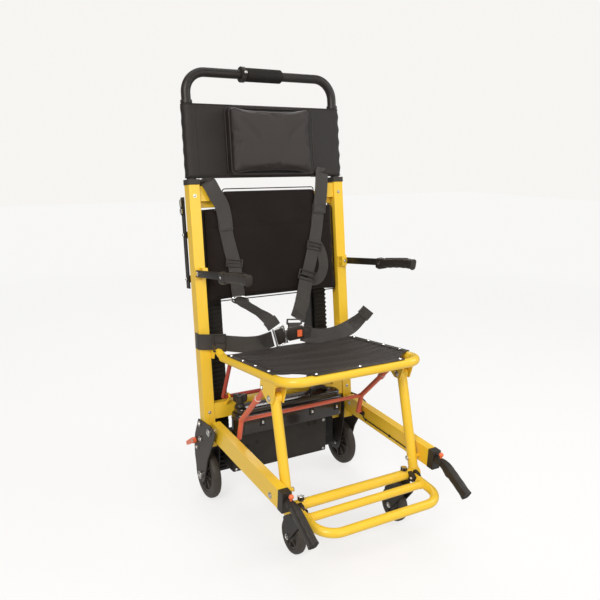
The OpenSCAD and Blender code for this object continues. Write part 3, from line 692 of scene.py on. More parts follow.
FINISHES = {
    YELLOW: ["uprights", "top_crossbar", "middle_crossbar", "base_crossbar", "lower_crossbar", "arm_brackets",
             "seat_brackets", "side_rails", "seat_tube", "seat_clevises", "front_legs", "front_crossbeam",
             "footrest"],
    BLACK_PAINT: ["battery_catches", "inner_plates", "track_plates", "track_spreaders", "track_struts",
                  "push_handle", "handle_collars", "caster_fork_left", "caster_fork_right"],
    PLATE_PAINT: ["side_plates"],
    PLASTIC: ["upright_caps", "backrest_board", "rail_ends"],
    ZINC: ["plate_bolts", "wheel_axles", "drive_axle", "idler_axle", "drive_motor"],
    RED: ["lock_brace"],
    # The release bail's red is darkened as painted shade.
    RED_WITH_PAINTED_SHADE: ["release_bail"],
    ORANGE: ["button_left", "button_right", "buckle_button", "brake_pedal_left", "brake_pedal_right"],
    STRIP: ["seat_strips"],
}
ROUNDED = {"uprights": 2.0, "base_crossbar": 2.0, "middle_crossbar": 2.0, "top_crossbar": 2.0,
           "lower_crossbar": 1.5, "side_rails": 2.2, "rail_ends": 2.5, "upright_caps": 1.8,
           "side_plates": 0.8, "inner_plates": 0.8, "seat_clevises": 0.8, "arm_brackets": 1.5,
           "seat_brackets": 0.8, "seat_strips": 0.6, "track_plates": 0.8, "track_struts": 1.0,
           "caster_fork_left": 1.5, "caster_fork_right": 1.5, "backrest_board": 1.2, "brake_pedal_left": 1.5,
           "brake_pedal_right": 1.5, "battery_catches": 0.4, "buckle_button": 0.8}


def finish_cad_nodes():
    """Gives each kept node its paint and softens the long edges of its plates and tubes."""
    for mat, names in FINISHES.items():
        for name in names:
            obj = frame["nodes"][name]
            obj.data.materials.clear()
            obj.data.materials.append(mat)
            if name in ROUNDED:
                weld = obj.modifiers.new("weld", "WELD")
                weld.merge_threshold = 0.00002
                flat = obj.modifiers.new("flat_faces", "DECIMATE")
                flat.decimate_type = "DISSOLVE"
                flat.angle_limit = math.radians(1.5)
                bevel = obj.modifiers.new("edges", "BEVEL")
                bevel.width = ROUNDED[name] / 1000
                bevel.segments = 2
                bevel.limit_method = "ANGLE"
                bevel.angle_limit = math.radians(50)
                bevel.use_clamp_overlap = True
                normals = obj.modifiers.new("flat_shading", "WEIGHTED_NORMAL")
                normals.weight = 100


finish_cad_nodes()

# Back pads ---------------------------------------------------------------------------------------


def pad_outline():
    """The backrest's outline in the back frame: broad shoulders and a raised middle."""
    return [(-219, 332), (219, 332), (219, 598), (160, 602), (154, 658), (-154, 658), (-160, 602),
            (-219, 598)]


def extruded(outline, y0, y1):
    """A prism of an (x, z) outline."""
    bm = bmesh.new()
    front = [bm.verts.new((x, y0, z)) for x, z in outline]
    rear = [bm.verts.new((x, y1, z)) for x, z in outline]
    bm.faces.new(front)
    bm.faces.new(rear[::-1])
    for i in range(len(outline)):
        j = (i + 1) % len(outline)
        bm.faces.new((front[i], rear[i], rear[j], front[j]))
    return bm


def make_backrest():
    rear = 21.6

    def keep_flat(co):
        local = BACK.inverted() @ co
        local.y = min(max(local.y, -8.5), rear)
        local.z = min(max(local.z, 329.5), 662.5)
        local.x = min(max(local.x, -221.5), 221.5)
        return BACK @ local

    def creases(co):
        """A sewn channel near the shoulders and slow waves in the cover."""
        local = BACK.inverted() @ co
        if local.y < 8:
            channel = math.exp(-((local.z - 545) / 3.2) ** 2) * (1 if abs(local.x) > 158 else 0.25)
            edge = math.exp(-((abs(local.x) - 160) / 4.0) ** 2) * (1 if local.z > 545 else 0)
            local.y += 3.0 * max(channel, edge)
            local.y += 0.8 * noise.noise(Vector((local.x * 0.014, local.z * 0.02, 3)))
        return BACK @ local

    pad = soft_piece("backrest_cushion", extruded(pad_outline(), 0, 20), BACK, PAD_CLOTH, "back_frame",
                     ("backrest_pad",), 0.005, 3.0, 0.007, keep_flat, creases)
    piping = merged(swept([Vector((x, 9, z)) for x, z in rounded_loop(pad_outline(), 8)],
                          round_section(1.6, 8), closed=True, up=Vector((0, 1, 0))))
    piece("backrest_piping", piping, BACK, PAD_CLOTH, "back_frame")
    return pad


def rounded_loop(outline, radius, steps=5):
    """An outline with its corners rounded."""
    out = []
    count = len(outline)
    for i in range(count):
        a, b, c = (Vector(outline[(i + k) % count]) for k in (-1, 0, 1))
        start = b + (a - b).normalized() * radius
        end = b + (c - b).normalized() * radius
        for k in range(steps + 1):
            t = k / steps
            out.append(tuple(start.lerp(b, t).lerp(b.lerp(end, t), t)))
    return out


def make_headrest():
    """Nylon panel sewn round both handle tubes, and the pillow on it."""
    low, high, rows = 691.5, 897, 26
    half = POST_X
    loop = []
    steps = 10
    for i in range(41):
        loop.append((-half + 2 * half * i / 40, 1.0))
    for i in range(1, steps):
        a = -math.pi / 2 + math.pi * i / steps
        loop.append((half + 17 * math.cos(a), 18 + 17 * math.sin(a)))
    for i in range(41):
        loop.append((half - 2 * half * i / 40, 35.0))
    for i in range(1, steps):
        a = math.pi / 2 + math.pi * i / steps
        loop.append((-half + 17 * math.cos(a), 18 + 17 * math.sin(a)))
    bm = bmesh.new()
    rings = []
    for k in range(rows + 1):
        z = low + (high - low) * k / rows
        ring = []
        for x, y in loop:
            side = max(0.0, (abs(x) - 150) / 110)
            ripple = 1.8 * side * math.sin(z * 0.16 + (0 if x > 0 else 1.3)) * (1.0 if x > 0 else 0.45)
            pull = 1.2 * noise.noise(Vector((x * 0.02, y * 0.05, z * 0.025)))
            out = 1 if y > 18 else -1
            ring.append(bm.verts.new((x + (ripple if abs(x) > half else 0),
                                      y + out * (abs(ripple) * 0.5 + 0.4 * pull), z)))
        rings.append(ring)
    for a, b in zip(rings, rings[1:]):
        for i in range(len(loop)):
            j = (i + 1) % len(loop)
            bm.faces.new((a[i], a[j], b[j], b[i]))
    panel = piece("headrest_cover", bm, BACK, HEAD_CLOTH, "push_handle", ("headrest_panel",),
                  smooth=180)
    thick = panel.modifiers.new("cloth_thickness", "SOLIDIFY")
    thick.thickness = 0.0012
    thick.offset = 0
    hems = []
    for z in (low + 1, high - 1):
        path = [Vector((x, y, z)) for x, y in loop]
        hems.append(swept(path, round_section(1.5, 8), closed=True, up=Vector((0, 0, 1))))
    for x in (-half + 19, half - 19):
        hems.append(stitches((x, 0.0, low + 4), (x, 0.0, high - 4), (0, -1, 0)))
    for z in (low + 9, high - 9):
        hems.append(stitches((-half + 6, 0.2, z), (half - 6, 0.2, z), (0, -1, 0)))
    piece("headrest_hems", merged(*hems), BACK, THREAD, "push_handle")
    make_pillow()


def make_pillow():
    half, low, high, front = 137.0, 697.0, 888.0, -36.0

    def limits(co):
        local = BACK.inverted() @ co
        local.y = min(max(local.y, -45.2), 0.2)
        return BACK @ local

    def creases(co):
        """Pulls in the sides between the corners and presses the cover's V creases."""
        local = BACK.inverted() @ co
        u = local.x / half
        w = (local.z - (low + high) / 2) / ((high - low) / 2)
        local.x *= 1 - 0.018 * (1 - w * w)
        local.z = (low + high) / 2 + (local.z - (low + high) / 2) * (1 - 0.02 * (1 - u * u))
        if local.y < -20:
            for side in (-1, 1):
                line = w - (0.95 - 1.5 * abs(u - side * 0.98))
                if abs(u - side) < 0.62:
                    local.y += 2.6 * math.exp(-(line * 7) ** 2)
        return BACK @ local

    start = block((-half, front, low), (half, -2, high), 12, 4)
    soft_piece("pillow", start, BACK, PILLOW_SKIN, "push_handle", ("headrest_pillow",),
               0.005, 4.0, 0.009, limits, creases)
    outline = rounded_loop([(-half, low), (half, low), (half, high), (-half, high)], 14)
    edges = [swept([Vector((x * 1.0, y, z)) for x, z in outline], round_section(1.7, 8), closed=True,
                   up=Vector((0, 1, 0))) for y in (-4, -31)]
    piece("pillow_piping", merged(*edges), BACK, PILLOW_SKIN, "push_handle")


make_backrest()
make_headrest()

# Seat --------------------------------------------------------------------------------------------


def make_seat_cloth():
    """Cloth stretched between the seat's side tubes, pulled in at the front corners."""
    rows, columns = 56, 48
    rear, square, front = -26.0, -318.0, -384.0
    bm = bmesh.new()
    grid = []
    for k in range(rows + 1):
        s = rear + (front - rear) * k / rows
        past = max(0.0, (square - s) / (square - front))
        width = 209 - 68 * min(1.0, past * 1.25) ** 0.6
        row = []
        for i in range(columns + 1):
            u = -1 + 2 * i / columns
            x = u * width
            middle = (1 - abs(u) ** 2.4)
            along = math.sin(math.pi * min(1, max(0, (s - rear) / (front - rear)))) ** 0.6
            sag = 15 * middle * along
            fold = 1.5 * middle * math.sin((s + 0.14 * x) * 0.085) * along
            fold += 2.2 * noise.noise(Vector((x * 0.008, s * 0.022, 1.7))) * middle
            edge_pull = 1.6 * (1 - middle) * math.sin(s * 0.17) * (1 if abs(u) < 0.985 else 0)
            lift = 13.3 if past < 1 else 13.0
            wander = 3.0 * noise.noise(Vector((x * 0.02, 5, 2))) if k == 0 else 0
            row.append(bm.verts.new((x, s + wander, lift - sag + fold - edge_pull)))
        grid.append(row)
    for a, b in zip(grid, grid[1:]):
        for i in range(columns):
            bm.faces.new((a[i], a[i + 1], b[i + 1], b[i]))
    cloth = piece("seat_cover", bm, SEAT, SEAT_CLOTH, "seat", ("seat_fabric",), smooth=180)
    thick = cloth.modifiers.new("cloth_thickness", "SOLIDIFY")
    thick.thickness = 0.0016
    thick.offset = 0
    rows_of_thread = [stitches((x, -40, 14.6), (x, -312, 14.6), (0, 0, 1)) for x in (-196, 196)]
    rows_of_thread.append(stitches((-132, -368, 12.6), (132, -368, 12.6), (0, 0, 1)))
    piece("seat_stitching", merged(*rows_of_thread), SEAT, THREAD, "seat")


def make_seat_fasteners():
    top = 12.5 + 2.5
    screws = [cap_screw((side * 209, y, top), (0, 0, 1), 4.6, 3.0) for side in (-1, 1)
              for y in (-55, -130, -205, -280)]
    screws += [cap_screw((x, -382, top), (0, 0, 1), 4.6, 3.0) for x in (-130, 0, 130)]
    piece("seat_screws", merged(*screws), SEAT, CHROME, "seat")
    bolts = []
    for side in (-1, 1):
        for y, z, r in ((-330, 425, 6.0), (-292, 443, 4.5)):
            bolts.append(hex_bolt((side * 220.2, y, z), (side, 0, 0), r, 3.8))
            bolts.append(hex_bolt((side * 183.8, y, z), (-side, 0, 0), r, 3.4))
    piece("clevis_bolts", merged(*bolts), CHAIR, ZINC, "seat")
    beads = [weld_bead((side * 198.5, -16, -1), (1, 0, 0), 9.2, 1.6) for side in (-1, 1)]
    piece("seat_welds", merged(*beads), SEAT, YELLOW, "seat")


make_seat_cloth()
make_seat_fasteners()

# Wheels ------------------------------------------------------------------------------------------


def wheel_shape(radius, width, hub, pockets):
    """Tyre and hub: a crowned tread, a lip, and a web with pockets."""
    half = width / 2
    tyre = turned([(hub, -half * 0.72), (hub + 2, -half * 0.92), (radius - 9, -half),
                   (radius - 4, -half * 0.88), (radius - 1.2, -half * 0.6), (radius - 0.1, -half * 0.25),
                   (radius - 0.1, half * 0.25), (radius - 1.2, half * 0.6), (radius - 4, half * 0.88),
                   (radius - 9, half), (hub + 2, half * 0.92),
                   (hub, half * 0.72)], steps=96)
    boss = 13
    rim = [turned([(hub + 0.5, s * half * 0.8), (hub - 2, s * half * 0.88), (hub - 4.5, s * half * 0.82),
                   (hub - 6, s * half * 0.42), (boss + 6, s * half * 0.36), (boss + 2, s * half * 0.84),
                   (boss, s * half * 0.98), (7, s * half * 0.98), (6.4, s * half * 0.9)], steps=96)
           for s in (-1, 1)]
    ribs = []
    for i in range(pockets):
        a = 2 * math.pi * i / pockets
        for s in (-1, 1):
            rib = block((s * half * 0.55 - 1.6 * half * 0.28, -2.0, boss + 1),
                        (s * half * 0.55 + half * 0.22, 2.0, hub - 4), 0.8, 2)
            ribs.append(moved(rib, Matrix.Rotation(a, 4, "X")))
    return tyre, merged(*rim, *ribs)


def make_wheels():
    for side, word in ((-1, "left"), (1, "right")):
        x, y, radius = REAR_AXLE
        tyre, hub = wheel_shape(radius, 26, 52, 8)
        body = f"rear_wheel_{word}"
        at = Matrix.Translation((side * x, y, radius))
        piece(f"rear_tyre_{word}", moved(tyre, at), CHAIR, TYRE, body, (body,))
        piece(f"rear_hub_{word}", moved(hub, at), CHAIR, HUB, body)
        x, y, radius = CASTER_AXLE
        tyre, hub = wheel_shape(radius, 25, 34, 6)
        body = f"caster_wheel_{word}"
        at = Matrix.Translation((side * x, y, radius))
        piece(f"caster_tyre_{word}", moved(tyre, at), CHAIR, TYRE, body, (body,))
        piece(f"caster_hub_{word}", moved(hub, at), CHAIR, HUB, body)


make_wheels()

# Stair tracks ------------------------------------------------------------------------------------


def belt_outline(ribs=124):
    """The belt's outer line with its ribs, as (along, out) points round the loop, with its inner line."""
    low, high, mid, rise = -165.0, 560.0, 37.0, 5.0
    run = high - low
    total = 2 * run + 2 * math.pi * mid

    def at(s, lift):
        s = s % total
        if s < run:
            return (mid + lift, low + s)
        s -= run
        if s < math.pi * mid:
            a = s / mid
            return ((mid + lift) * math.cos(a), high + (mid + lift) * math.sin(a))
        s -= math.pi * mid
        if s < run:
            return (-mid - lift, high - s)
        a = (s - run) / mid
        return (-(mid + lift) * math.cos(a), low - (mid + lift) * math.sin(a))

    outer, inner = [], []
    pitch = total / ribs
    for i in range(ribs):
        for share, lift in ((0.0, 0.0), (0.10, rise), (0.50, rise), (0.60, 0.0)):
            outer.append(at((i + share) * pitch, lift))
            inner.append(at((i + share) * pitch, -6.7))
    return outer, inner


def make_belts():
    outer, inner = belt_outline()

    def belt():
        bm = bmesh.new()
        count = len(outer)
        sides = []
        for x in (165.2, 204.8):
            sides.append([[bm.verts.new((x, 86.5 + y, z)) for y, z in line] for line in (outer, inner)])
        (lo, li), (ro, ri) = sides
        for i in range(count):
            j = (i + 1) % count
            bm.faces.new((lo[i], lo[j], ro[j], ro[i]))
            bm.faces.new((li[j], li[i], ri[i], ri[j]))
            bm.faces.new((lo[j], lo[i], li[i], li[j]))
            bm.faces.new((ro[i], ro[j], ri[j], ri[i]))
        return bm

    piece("ribbed_belts", mirrored(belt), BACK, RUBBER, "stair_tracks", ("track_belts",),
          smooth=30)
    bolts = []
    for side in (-1, 1):
        for z in (60, 300, 500):
            bolts.append(hex_bolt((side * 212.6, 86.5, z), (side, 0, 0), 5.5, 3.6))
        for z in (400, 530):
            bolts.append(cap_screw((side * 259, 73, z), (side, 0, 0), 4.6, 3))
        bolts.append(hex_bolt((side * 215, 86.5, 560), (side, 0, 0), 6, 4))
    piece("track_bolts", merged(*bolts), BACK, ZINC, "stair_tracks")
    catch = []
    for side in (-1, 1):
        catch.append(block((side * 261 - 2, 64, 592), (side * 261 + 2, 80, 606), 1, 2))
        catch.append(block((side * 261 - 2.5, 67, 612), (side * 261 + 2.5, 77, 632), 1, 2))
    piece("strut_catches", merged(*catch), BACK, ZINC, "stair_tracks")


make_belts()

# Drive and battery -------------------------------------------------------------------------------


def make_housing():
    lo, hi = Vector((-198, -60, 102)), Vector((125, 6, 218))
    shell = block(lo, hi, 3.5, 3)
    flange = block((-196, -61.0, 213), (123, -56, 219.0), 1.2, 2)
    seam = block((-196, -60.9, 106), (123, -58, 108.4), 0.8, 2)
    feet = [block((x - 12, -40, 99.5), (x + 12, -16, 103), 1, 2) for x in (-150, 90)]
    piece("drive_case", merged(shell, flange, seam, *feet), CHAIR, HOUSING, "back_frame",
          ("drive_housing",))
    fins = [block((125.5 + 3.4 * i, -52, 118), (127.3 + 3.4 * i, -8, 206), 0.6, 2) for i in range(9)]
    fins.append(block((124, -44, 112), (157, -14, 212), 2, 2))
    piece("motor_cooling_fins", merged(*fins), CHAIR, BLACK_PAINT, "back_frame")
    screws = [cap_screw((x, -60.6, z), (0, -1, 0), 3.6, 2.2) for x in (-188, -40, 115) for z in (110, 206)]
    piece("drive_case_screws", merged(*screws), CHAIR, ZINC, "back_frame")
    holes = [turned([(0, 0.4), (r * 0.96, 0.4), (r, 0.9), (r * 1.25, 0.8), (r * 1.3, 0)], steps=24)
             for r in (4.5, 4.5, 5.5, 5.5)]
    spots = [(-150, -60.2, 176), (-118, -60.2, 182), (62, -60.2, 203), (84, -60.2, 203)]
    grommets = [moved(h, Matrix.Translation(Vector(p)) @ about((0, -1, 0))) for h, p in zip(holes, spots)]
    piece("drive_case_grommets", merged(*grommets), CHAIR, RUBBER, "back_frame")


def slab(lo, hi, corner, lift, segments=3):
    """A low box with round corners in plan and a soft top edge."""
    width, depth = hi[0] - lo[0], hi[1] - lo[1]
    outline = soft_rectangle(width, depth, corner, 6)
    middle = Vector(((lo[0] + hi[0]) / 2, (lo[1] + hi[1]) / 2, 0))
    bm = bmesh.new()
    levels = [(lo[2], 0.985), (lo[2] + 2, 1.0), (hi[2] - lift, 1.0)]
    for i in range(1, segments + 1):
        a = math.pi / 2 * i / segments
        shrink = (1 - math.cos(a)) * lift / (min(width, depth) / 2)
        levels.append((hi[2] - lift + lift * math.sin(a), 1 - shrink))
    rings = []
    for z, k in levels:
        kx = 1 - (1 - k) * depth / width
        rings.append([bm.verts.new(middle + Vector((x * kx, y * k, z))) for x, y in outline])
    for a, b in zip(rings, rings[1:]):
        for i in range(len(outline)):
            j = (i + 1) % len(outline)
            bm.faces.new((a[i], a[j], b[j], b[i]))
    bm.faces.new(rings[0][::-1])
    bm.faces.new(rings[-1])
    return bm


def make_battery():
    case = slab((-190, -80, 222), (178, -18, 284), 24, 7)
    lid = slab((-183, -75, 283), (171, -23, 300), 20, 6)
    lip = slab((-191, -81, 262), (179, -17, 268), 25, 1.2)
    piece("battery_shell", merged(case, lid, lip), CHAIR, GLOSS_PLASTIC, "battery",
          ("battery_case",))
    grip = smooth_path([(70, -49, 299), (78, -49, 311), (100, -49, 314), (122, -49, 311), (130, -49, 299)], 6)
    handle = swept(grip, soft_rectangle(9, 16, 3, 2), up=Vector((0, 1, 0)))
    piece("battery_grip", handle, CHAIR, PLASTIC, "battery")
    catch = [block((x - 3.5, -84, 247), (x + 3.5, -81, 256), 0.8, 2) for x in (-110, 60, 150)]
    piece("battery_latches", merged(*catch), CHAIR, CHROME, "battery")
    outline = []
    for i in range(72):
        a = 2 * math.pi * i / 72
        outline.append((17.5 + 6.2 * math.cos(3 * a), a))
    bm = bmesh.new()
    rings = []
    for z, k in ((314, 0.86), (317, 0.97), (321, 1.0), (330, 1.0), (334, 0.95), (336, 0.82), (335.2, 0.5),
                 (333.5, 0.3)):
        rings.append([bm.verts.new((-168 + r * k * math.cos(a), -48 + r * k * math.sin(a), z))
                      for r, a in outline])
    for a, b in zip(rings, rings[1:]):
        for i in range(72):
            bm.faces.new((a[i], a[(i + 1) % 72], b[(i + 1) % 72], b[i]))
    bm.faces.new(rings[0][::-1])
    bm.faces.new(rings[-1])
    stem = moved(turned([(0, 300.5), (15, 300.5), (15.5, 302), (13, 305), (11, 314.5), (0, 314.5)], steps=48),
                 Matrix.Translation((-168, -48, 0)) @ Matrix.Rotation(-math.pi / 2, 4, "Y"))
    piece("star_knob", merged(bm, stem), CHAIR, PLASTIC, "battery_knob", ("battery_knob",))


make_housing()
make_battery()

# Handles -----------------------------------------------------------------------------------------


def make_push_grip():
    half = 62
    ribs = [(19.2, -half)]
    x = -half + 3
    while x < half - 3:
        ribs += [(20.0, x), (20.0, x + 2.2), (19.3, x + 2.6), (19.3, x + 3.6)]
        x += 4.0
    ribs += [(20.0, half - 2), (18.6, half), (13.6, half)]
    sleeve = turned([(13.6, -half), *ribs], steps=64)
    clamp = turned([(13.6, -72), (21, -72), (22.8, -70.5), (22.8, -60), (21.4, -58.4), (13.6, -58.4)],
                   steps=64)
    ears = block((-71, -30, -6), (-60, -18, 8), 2, 3)
    at = BACK @ Matrix.Translation((0, 18, 988))
    piece("push_sleeve", sleeve, at, RUBBER, "push_handle", ("handle_sleeve",))
    piece("sleeve_clamp", merged(clamp, ears), at, PLASTIC, "push_handle")
    piece("clamp_screw", cap_screw((-65.5, -30, 1), (0, -1, 0), 4, 2.6), at, ZINC, "push_handle")


def make_armrests():
    """Flat steel bars, each with a moulded joint and a ribbed grip."""
    for side, word in ((-1, "left"), (1, "right")):
        body = f"armrest_{word}"
        at = BACK @ Matrix.Translation((side * 256, 0, 420))
        flat_bar = block((-4, -196, -10), (4, -7, 10), 1.2, 2)
        piece(f"armrest_bar_{word}", flat_bar, at, BLACK_PAINT, body, (body,))
        heel = swept([Vector((0, y, z)) for y, z in ((-180, -3.5), (-190, -4), (-204, -4), (-214, -3))],
                     soft_rectangle(19.5, 35, 6, 4), up=Vector((0, 0, 1)),
                     scale=lambda t: (1.0, 0.86 + 0.14 * math.sin(math.pi * min(1, t * 1.4))))
        path = smooth_path([(0, -208, -3), (0, -240, -1.5), (0, -280, 0), (0, -318, -0.5), (0, -338, -2),
                            (0, -347, -4)], 8)

        def size(t):
            knuckles = 1 + 0.035 * math.sin(t * 40) * (1 if 0.1 < t < 0.85 else 0)
            tip = 1.12 if t > 0.86 else 1.0
            end = 1.0 if t < 0.95 else 1 - 0.55 * ((t - 0.95) / 0.05) ** 2
            return (end, 0.9 * tip * end * knuckles)

        grip = swept(path, soft_rectangle(19, 31, 8.5, 5), up=Vector((0, 0, 1)), scale=size)
        piece(f"armrest_grip_{word}", merged(heel, grip), at, PLASTIC, body, smooth=50)
        inlay = swept(smooth_path([(0, -222, 11.8), (0, -250, 12.6), (0, -290, 13.6), (0, -318, 13.6)], 6),
                      soft_rectangle(9, 2.6, 1.2, 2), up=Vector((0, 0, 1)))
        piece(f"armrest_inlay_{word}", inlay, at, RUBBER, body)
        bolts = merged(*[cap_screw((turn * 9.4, -194, -2), (turn, 0, 0), 4.5, 0.9) for turn in (-1, 1)],
                       cap_screw((side * 4.2, -17, 0), (side, 0, 0), 6, 3))
        piece(f"armrest_bolts_{word}", bolts, at, CHROME, body)


def make_carry_handles():
    """Sliding shanks that end in drooping grips with a hooked finger guard."""
    for side, word in ((-1, "left"), (1, "right")):
        body = f"carry_handle_{word}"
        at = RAIL @ Matrix.Translation((side * 235, 0, 4))
        shank = rod([(0, -190, 0), (0, -430, 0)], 8.4, 32)
        collar = turned([(0, -12), (10.5, -12), (11.5, -10.5), (11.5, 9), (10.8, 10.5), (0, 10.5)], steps=48)
        collar = moved(collar, Matrix.Translation((0, -419, 0)) @ about((0, -1, 0)))
        path = smooth_path([(0, -424, 1), (0, -440, -1.5), (0, -456, -7.5), (0, -480, -19), (0, -508, -33),
                            (0, -530, -45)], 8)

        def size(t):
            knuckles = 1 + 0.03 * math.sin(t * 34 + 1) * (1 if 0.25 < t < 0.9 else 0)
            flare = 0.80 + 0.2 * min(1, t / 0.3) + 0.10 * max(0, (t - 0.9) / 0.1)
            return (flare * 0.98, flare * knuckles)

        grip = swept(path, soft_rectangle(22.4, 27, 7.5, 4), up=Vector((0, 0.3, 1)), scale=size)
        guard = swept(smooth_path([(0, -438, -9), (0, -448, -17), (0, -455, -22), (0, -462, -23)], 5),
                      soft_rectangle(17, 9, 4, 3), up=Vector((0, 0.5, 1)))
        rim = swept(path[-4:], soft_rectangle(22.0, 29.5, 8, 4), up=Vector((0, 0.3, 1)))
        inlay = swept([p + Vector((0, 4.4, 11.2)) for p in path[16:-5]], soft_rectangle(7, 3, 1.3, 2),
                      up=Vector((0, 0.3, 1)))
        piece(f"carry_shank_{word}", merged(shank, collar), at, PLASTIC, body, (body,))
        piece(f"carry_grip_{word}", merged(grip, guard, rim), at, PLASTIC, body, smooth=50)
        piece(f"carry_inlay_{word}", inlay, at, RUBBER, body)


make_push_grip()
make_armrests()
make_carry_handles()

# Fasteners, cables and welds on the frame ---------------------------------------------------------


def make_frame_details():
    bolts = []
    for side in (-1, 1):
        for y, z, r in ((26, 239, 5.5), (22, 193, 5.5), (50, 156, 4.5), (-43, 236, 7.5)):
            bolts.append(hex_bolt((side * 268, y, z), (side, 0, 0), r, 3.6))
        bolts.append(hex_bolt((side * 270, *REAR_AXLE[1:]), (side, 0, 0), 8, 4))
    piece("plate_bolt_heads", merged(*bolts), CHAIR, ZINC, "back_frame")
    heads = [cap_screw((side * POST_X, -0.2, z), (0, -1, 0), 4, 2.4) for side in (-1, 1) for z in (8, 640)]
    heads += [cap_screw((side * 240, -26, 420), (0, -1, 0), 4.5, 2.6) for side in (-1, 1)]
    heads += [cap_screw((side * 246.2, -17, 420), (side, 0, 0), 5, 2.4) for side in (-1, 1)]
    piece("upright_screws", merged(*heads), BACK, ZINC, "back_frame")
    leg_bolts = [hex_bolt((side * 249.4, -390, 196), (side, 0, 0), 6, 3.6) for side in (-1, 1)]
    leg_bolts += [cap_screw((side * 183, -390, 196), (-side, 0, 0), 5, 3) for side in (-1, 1)]
    leg_bolts += [cap_screw((side * 199.2, -424, 152), (side, 0, 0), 4.6, 2.6) for side in (-1, 1)]
    leg_bolts += [cap_screw((side * 172.6, -424, 152), (-side, 0, 0), 4.6, 2.6) for side in (-1, 1)]
    piece("leg_bolts", merged(*leg_bolts), CHAIR, ZINC, "front_frame")
    quarter_turn = Matrix.Rotation(-math.pi / 2, 4, "Z")
    blocks = []
    for side in (-1, 1):
        for x in (173, 190.3):
            lo, hi = sorted((side * (x - 0.5), side * (x + 9.2)))
            outline = rounded_loop([(-410, 141), (-410, 168), (-427, 165), (-436, 156), (-434, 143)], 5)
            shape = extruded([(-y, z) for y, z in outline], 0, hi - lo)
            blocks.append(moved(shape, Matrix.Translation((lo, 0, 0)) @ quarter_turn))
    piece("footrest_hinge_blocks", merged(*blocks), CHAIR, PLASTIC, "front_frame")
    for side, word in ((-1, "left"), (1, "right")):
        hexagon = turned([(0, 9.2), (7.6, 9.2), (9.0, 7.6), (9.0, 1.6), (7.6, 0.2), (10.2, 0.2), (10.4, -0.4),
                          (10.4, -2.2), (0, -2.2)], steps=6)
        nut = moved(hexagon, Matrix.Translation((side * 166, -400, 168)) @ about((0, 0, 1)))
        axle_x, *axle_yz = CASTER_AXLE
        pins = merged(*[hex_bolt((side * axle_x + turn * 21.5, *axle_yz), (turn, 0, 0), 5.5, 3.2)
                        for turn in (-1, 1)])
        piece(f"caster_nut_{word}", merged(nut, pins), CHAIR, CHROME, f"caster_fork_{word}")
    beads = []
    leg = Vector((0, -400 + 330, 153 - 425)).normalized()
    for side in (-1, 1):
        foot = Vector((side * 202, -400, 153)) - leg * 15.5
        beads.append(weld_bead(foot, leg, 13.4, 1.5))
    piece("leg_welds", merged(*beads), CHAIR, YELLOW, "front_frame")
    foot_at = CHAIR @ Matrix.Translation((0, -424, 152)) @ Matrix.Rotation(math.radians(6), 4, "X")
    beads = [weld_bead((side * 174.6, -36, 0), (1, 0, 0), 11.2, 1.5) for side in (-1, 1)]
    piece("footrest_welds", merged(*beads), foot_at, YELLOW, "footrest")
    beads = [weld_bead((side * 198, -136, 296), (1, 0, 0), 5.8, 1.3) for side in (-1, 1)]
    piece("brace_welds", merged(*beads), CHAIR, RED, "lock_brace")
    way = Vector((0, 156, -147)).normalized()
    rings = []
    for side in (-1, 1):
        start = Vector((side * 205, -292, 443))
        rings.append(rod([start + way * 72, start + way * 84], 9.6, 32))
    piece("brace_sleeves", merged(*rings), CHAIR, WHITE_RING, "lock_brace")


def make_cables():
    parts = []
    for side in (-1, 1):
        x = side * 222.3
        path = smooth_path([(x, -62, 2), (x, -72, -4), (x, -80, -11), (x, -100, -13), (x, -200, -12.5),
                            (x, -300, -14), (x, -334, -14)], 8)
        parts.append(swept(path, round_section(1.7, 10), up=None))
        parts.append(block((x - 4.4 if side > 0 else x - 1.6, -80, -3),
                           (x + 1.6 if side > 0 else x + 4.4, -58, 9), 1.4, 3))
        for y in (-90, -210, -326):
            parts.append(block((x - 2.4, y - 3.5, -16), (x + 2.4, y + 3.5, -9.5), 1.0, 2))
    piece("release_cables", merged(*parts), RAIL, PLASTIC, "rails", ("latch_cables",))


make_frame_details()
make_cables()

# Harness -----------------------------------------------------------------------------------------


def slide_adjuster(centre, width, height, tilt=0.0, face=(0, -1, 0)):
    """A moulded three-bar slide."""
    bars = [block((-width / 2, -2.2, z - 1.9), (width / 2, 2.2, z + 1.9), 1.2, 2)
            for z in (-height / 2 + 2, 0, height / 2 - 2)]
    sides = [block((x - 2.2, -2.6, -height / 2), (x + 2.2, 2.6, height / 2), 1.4, 3)
             for x in (-width / 2, width / 2)]
    bm = merged(*bars, *sides)
    turn = Vector((0, -1, 0)).rotation_difference(Vector(face)).to_matrix().to_4x4()
    return moved(bm, Matrix.Translation(Vector(centre)) @ turn @ Matrix.Rotation(math.radians(tilt), 4, "Y"))


def flatten_behind_seat(strap_piece):
    """Gives the piece its own copy of its mesh."""
    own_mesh(strap_piece)


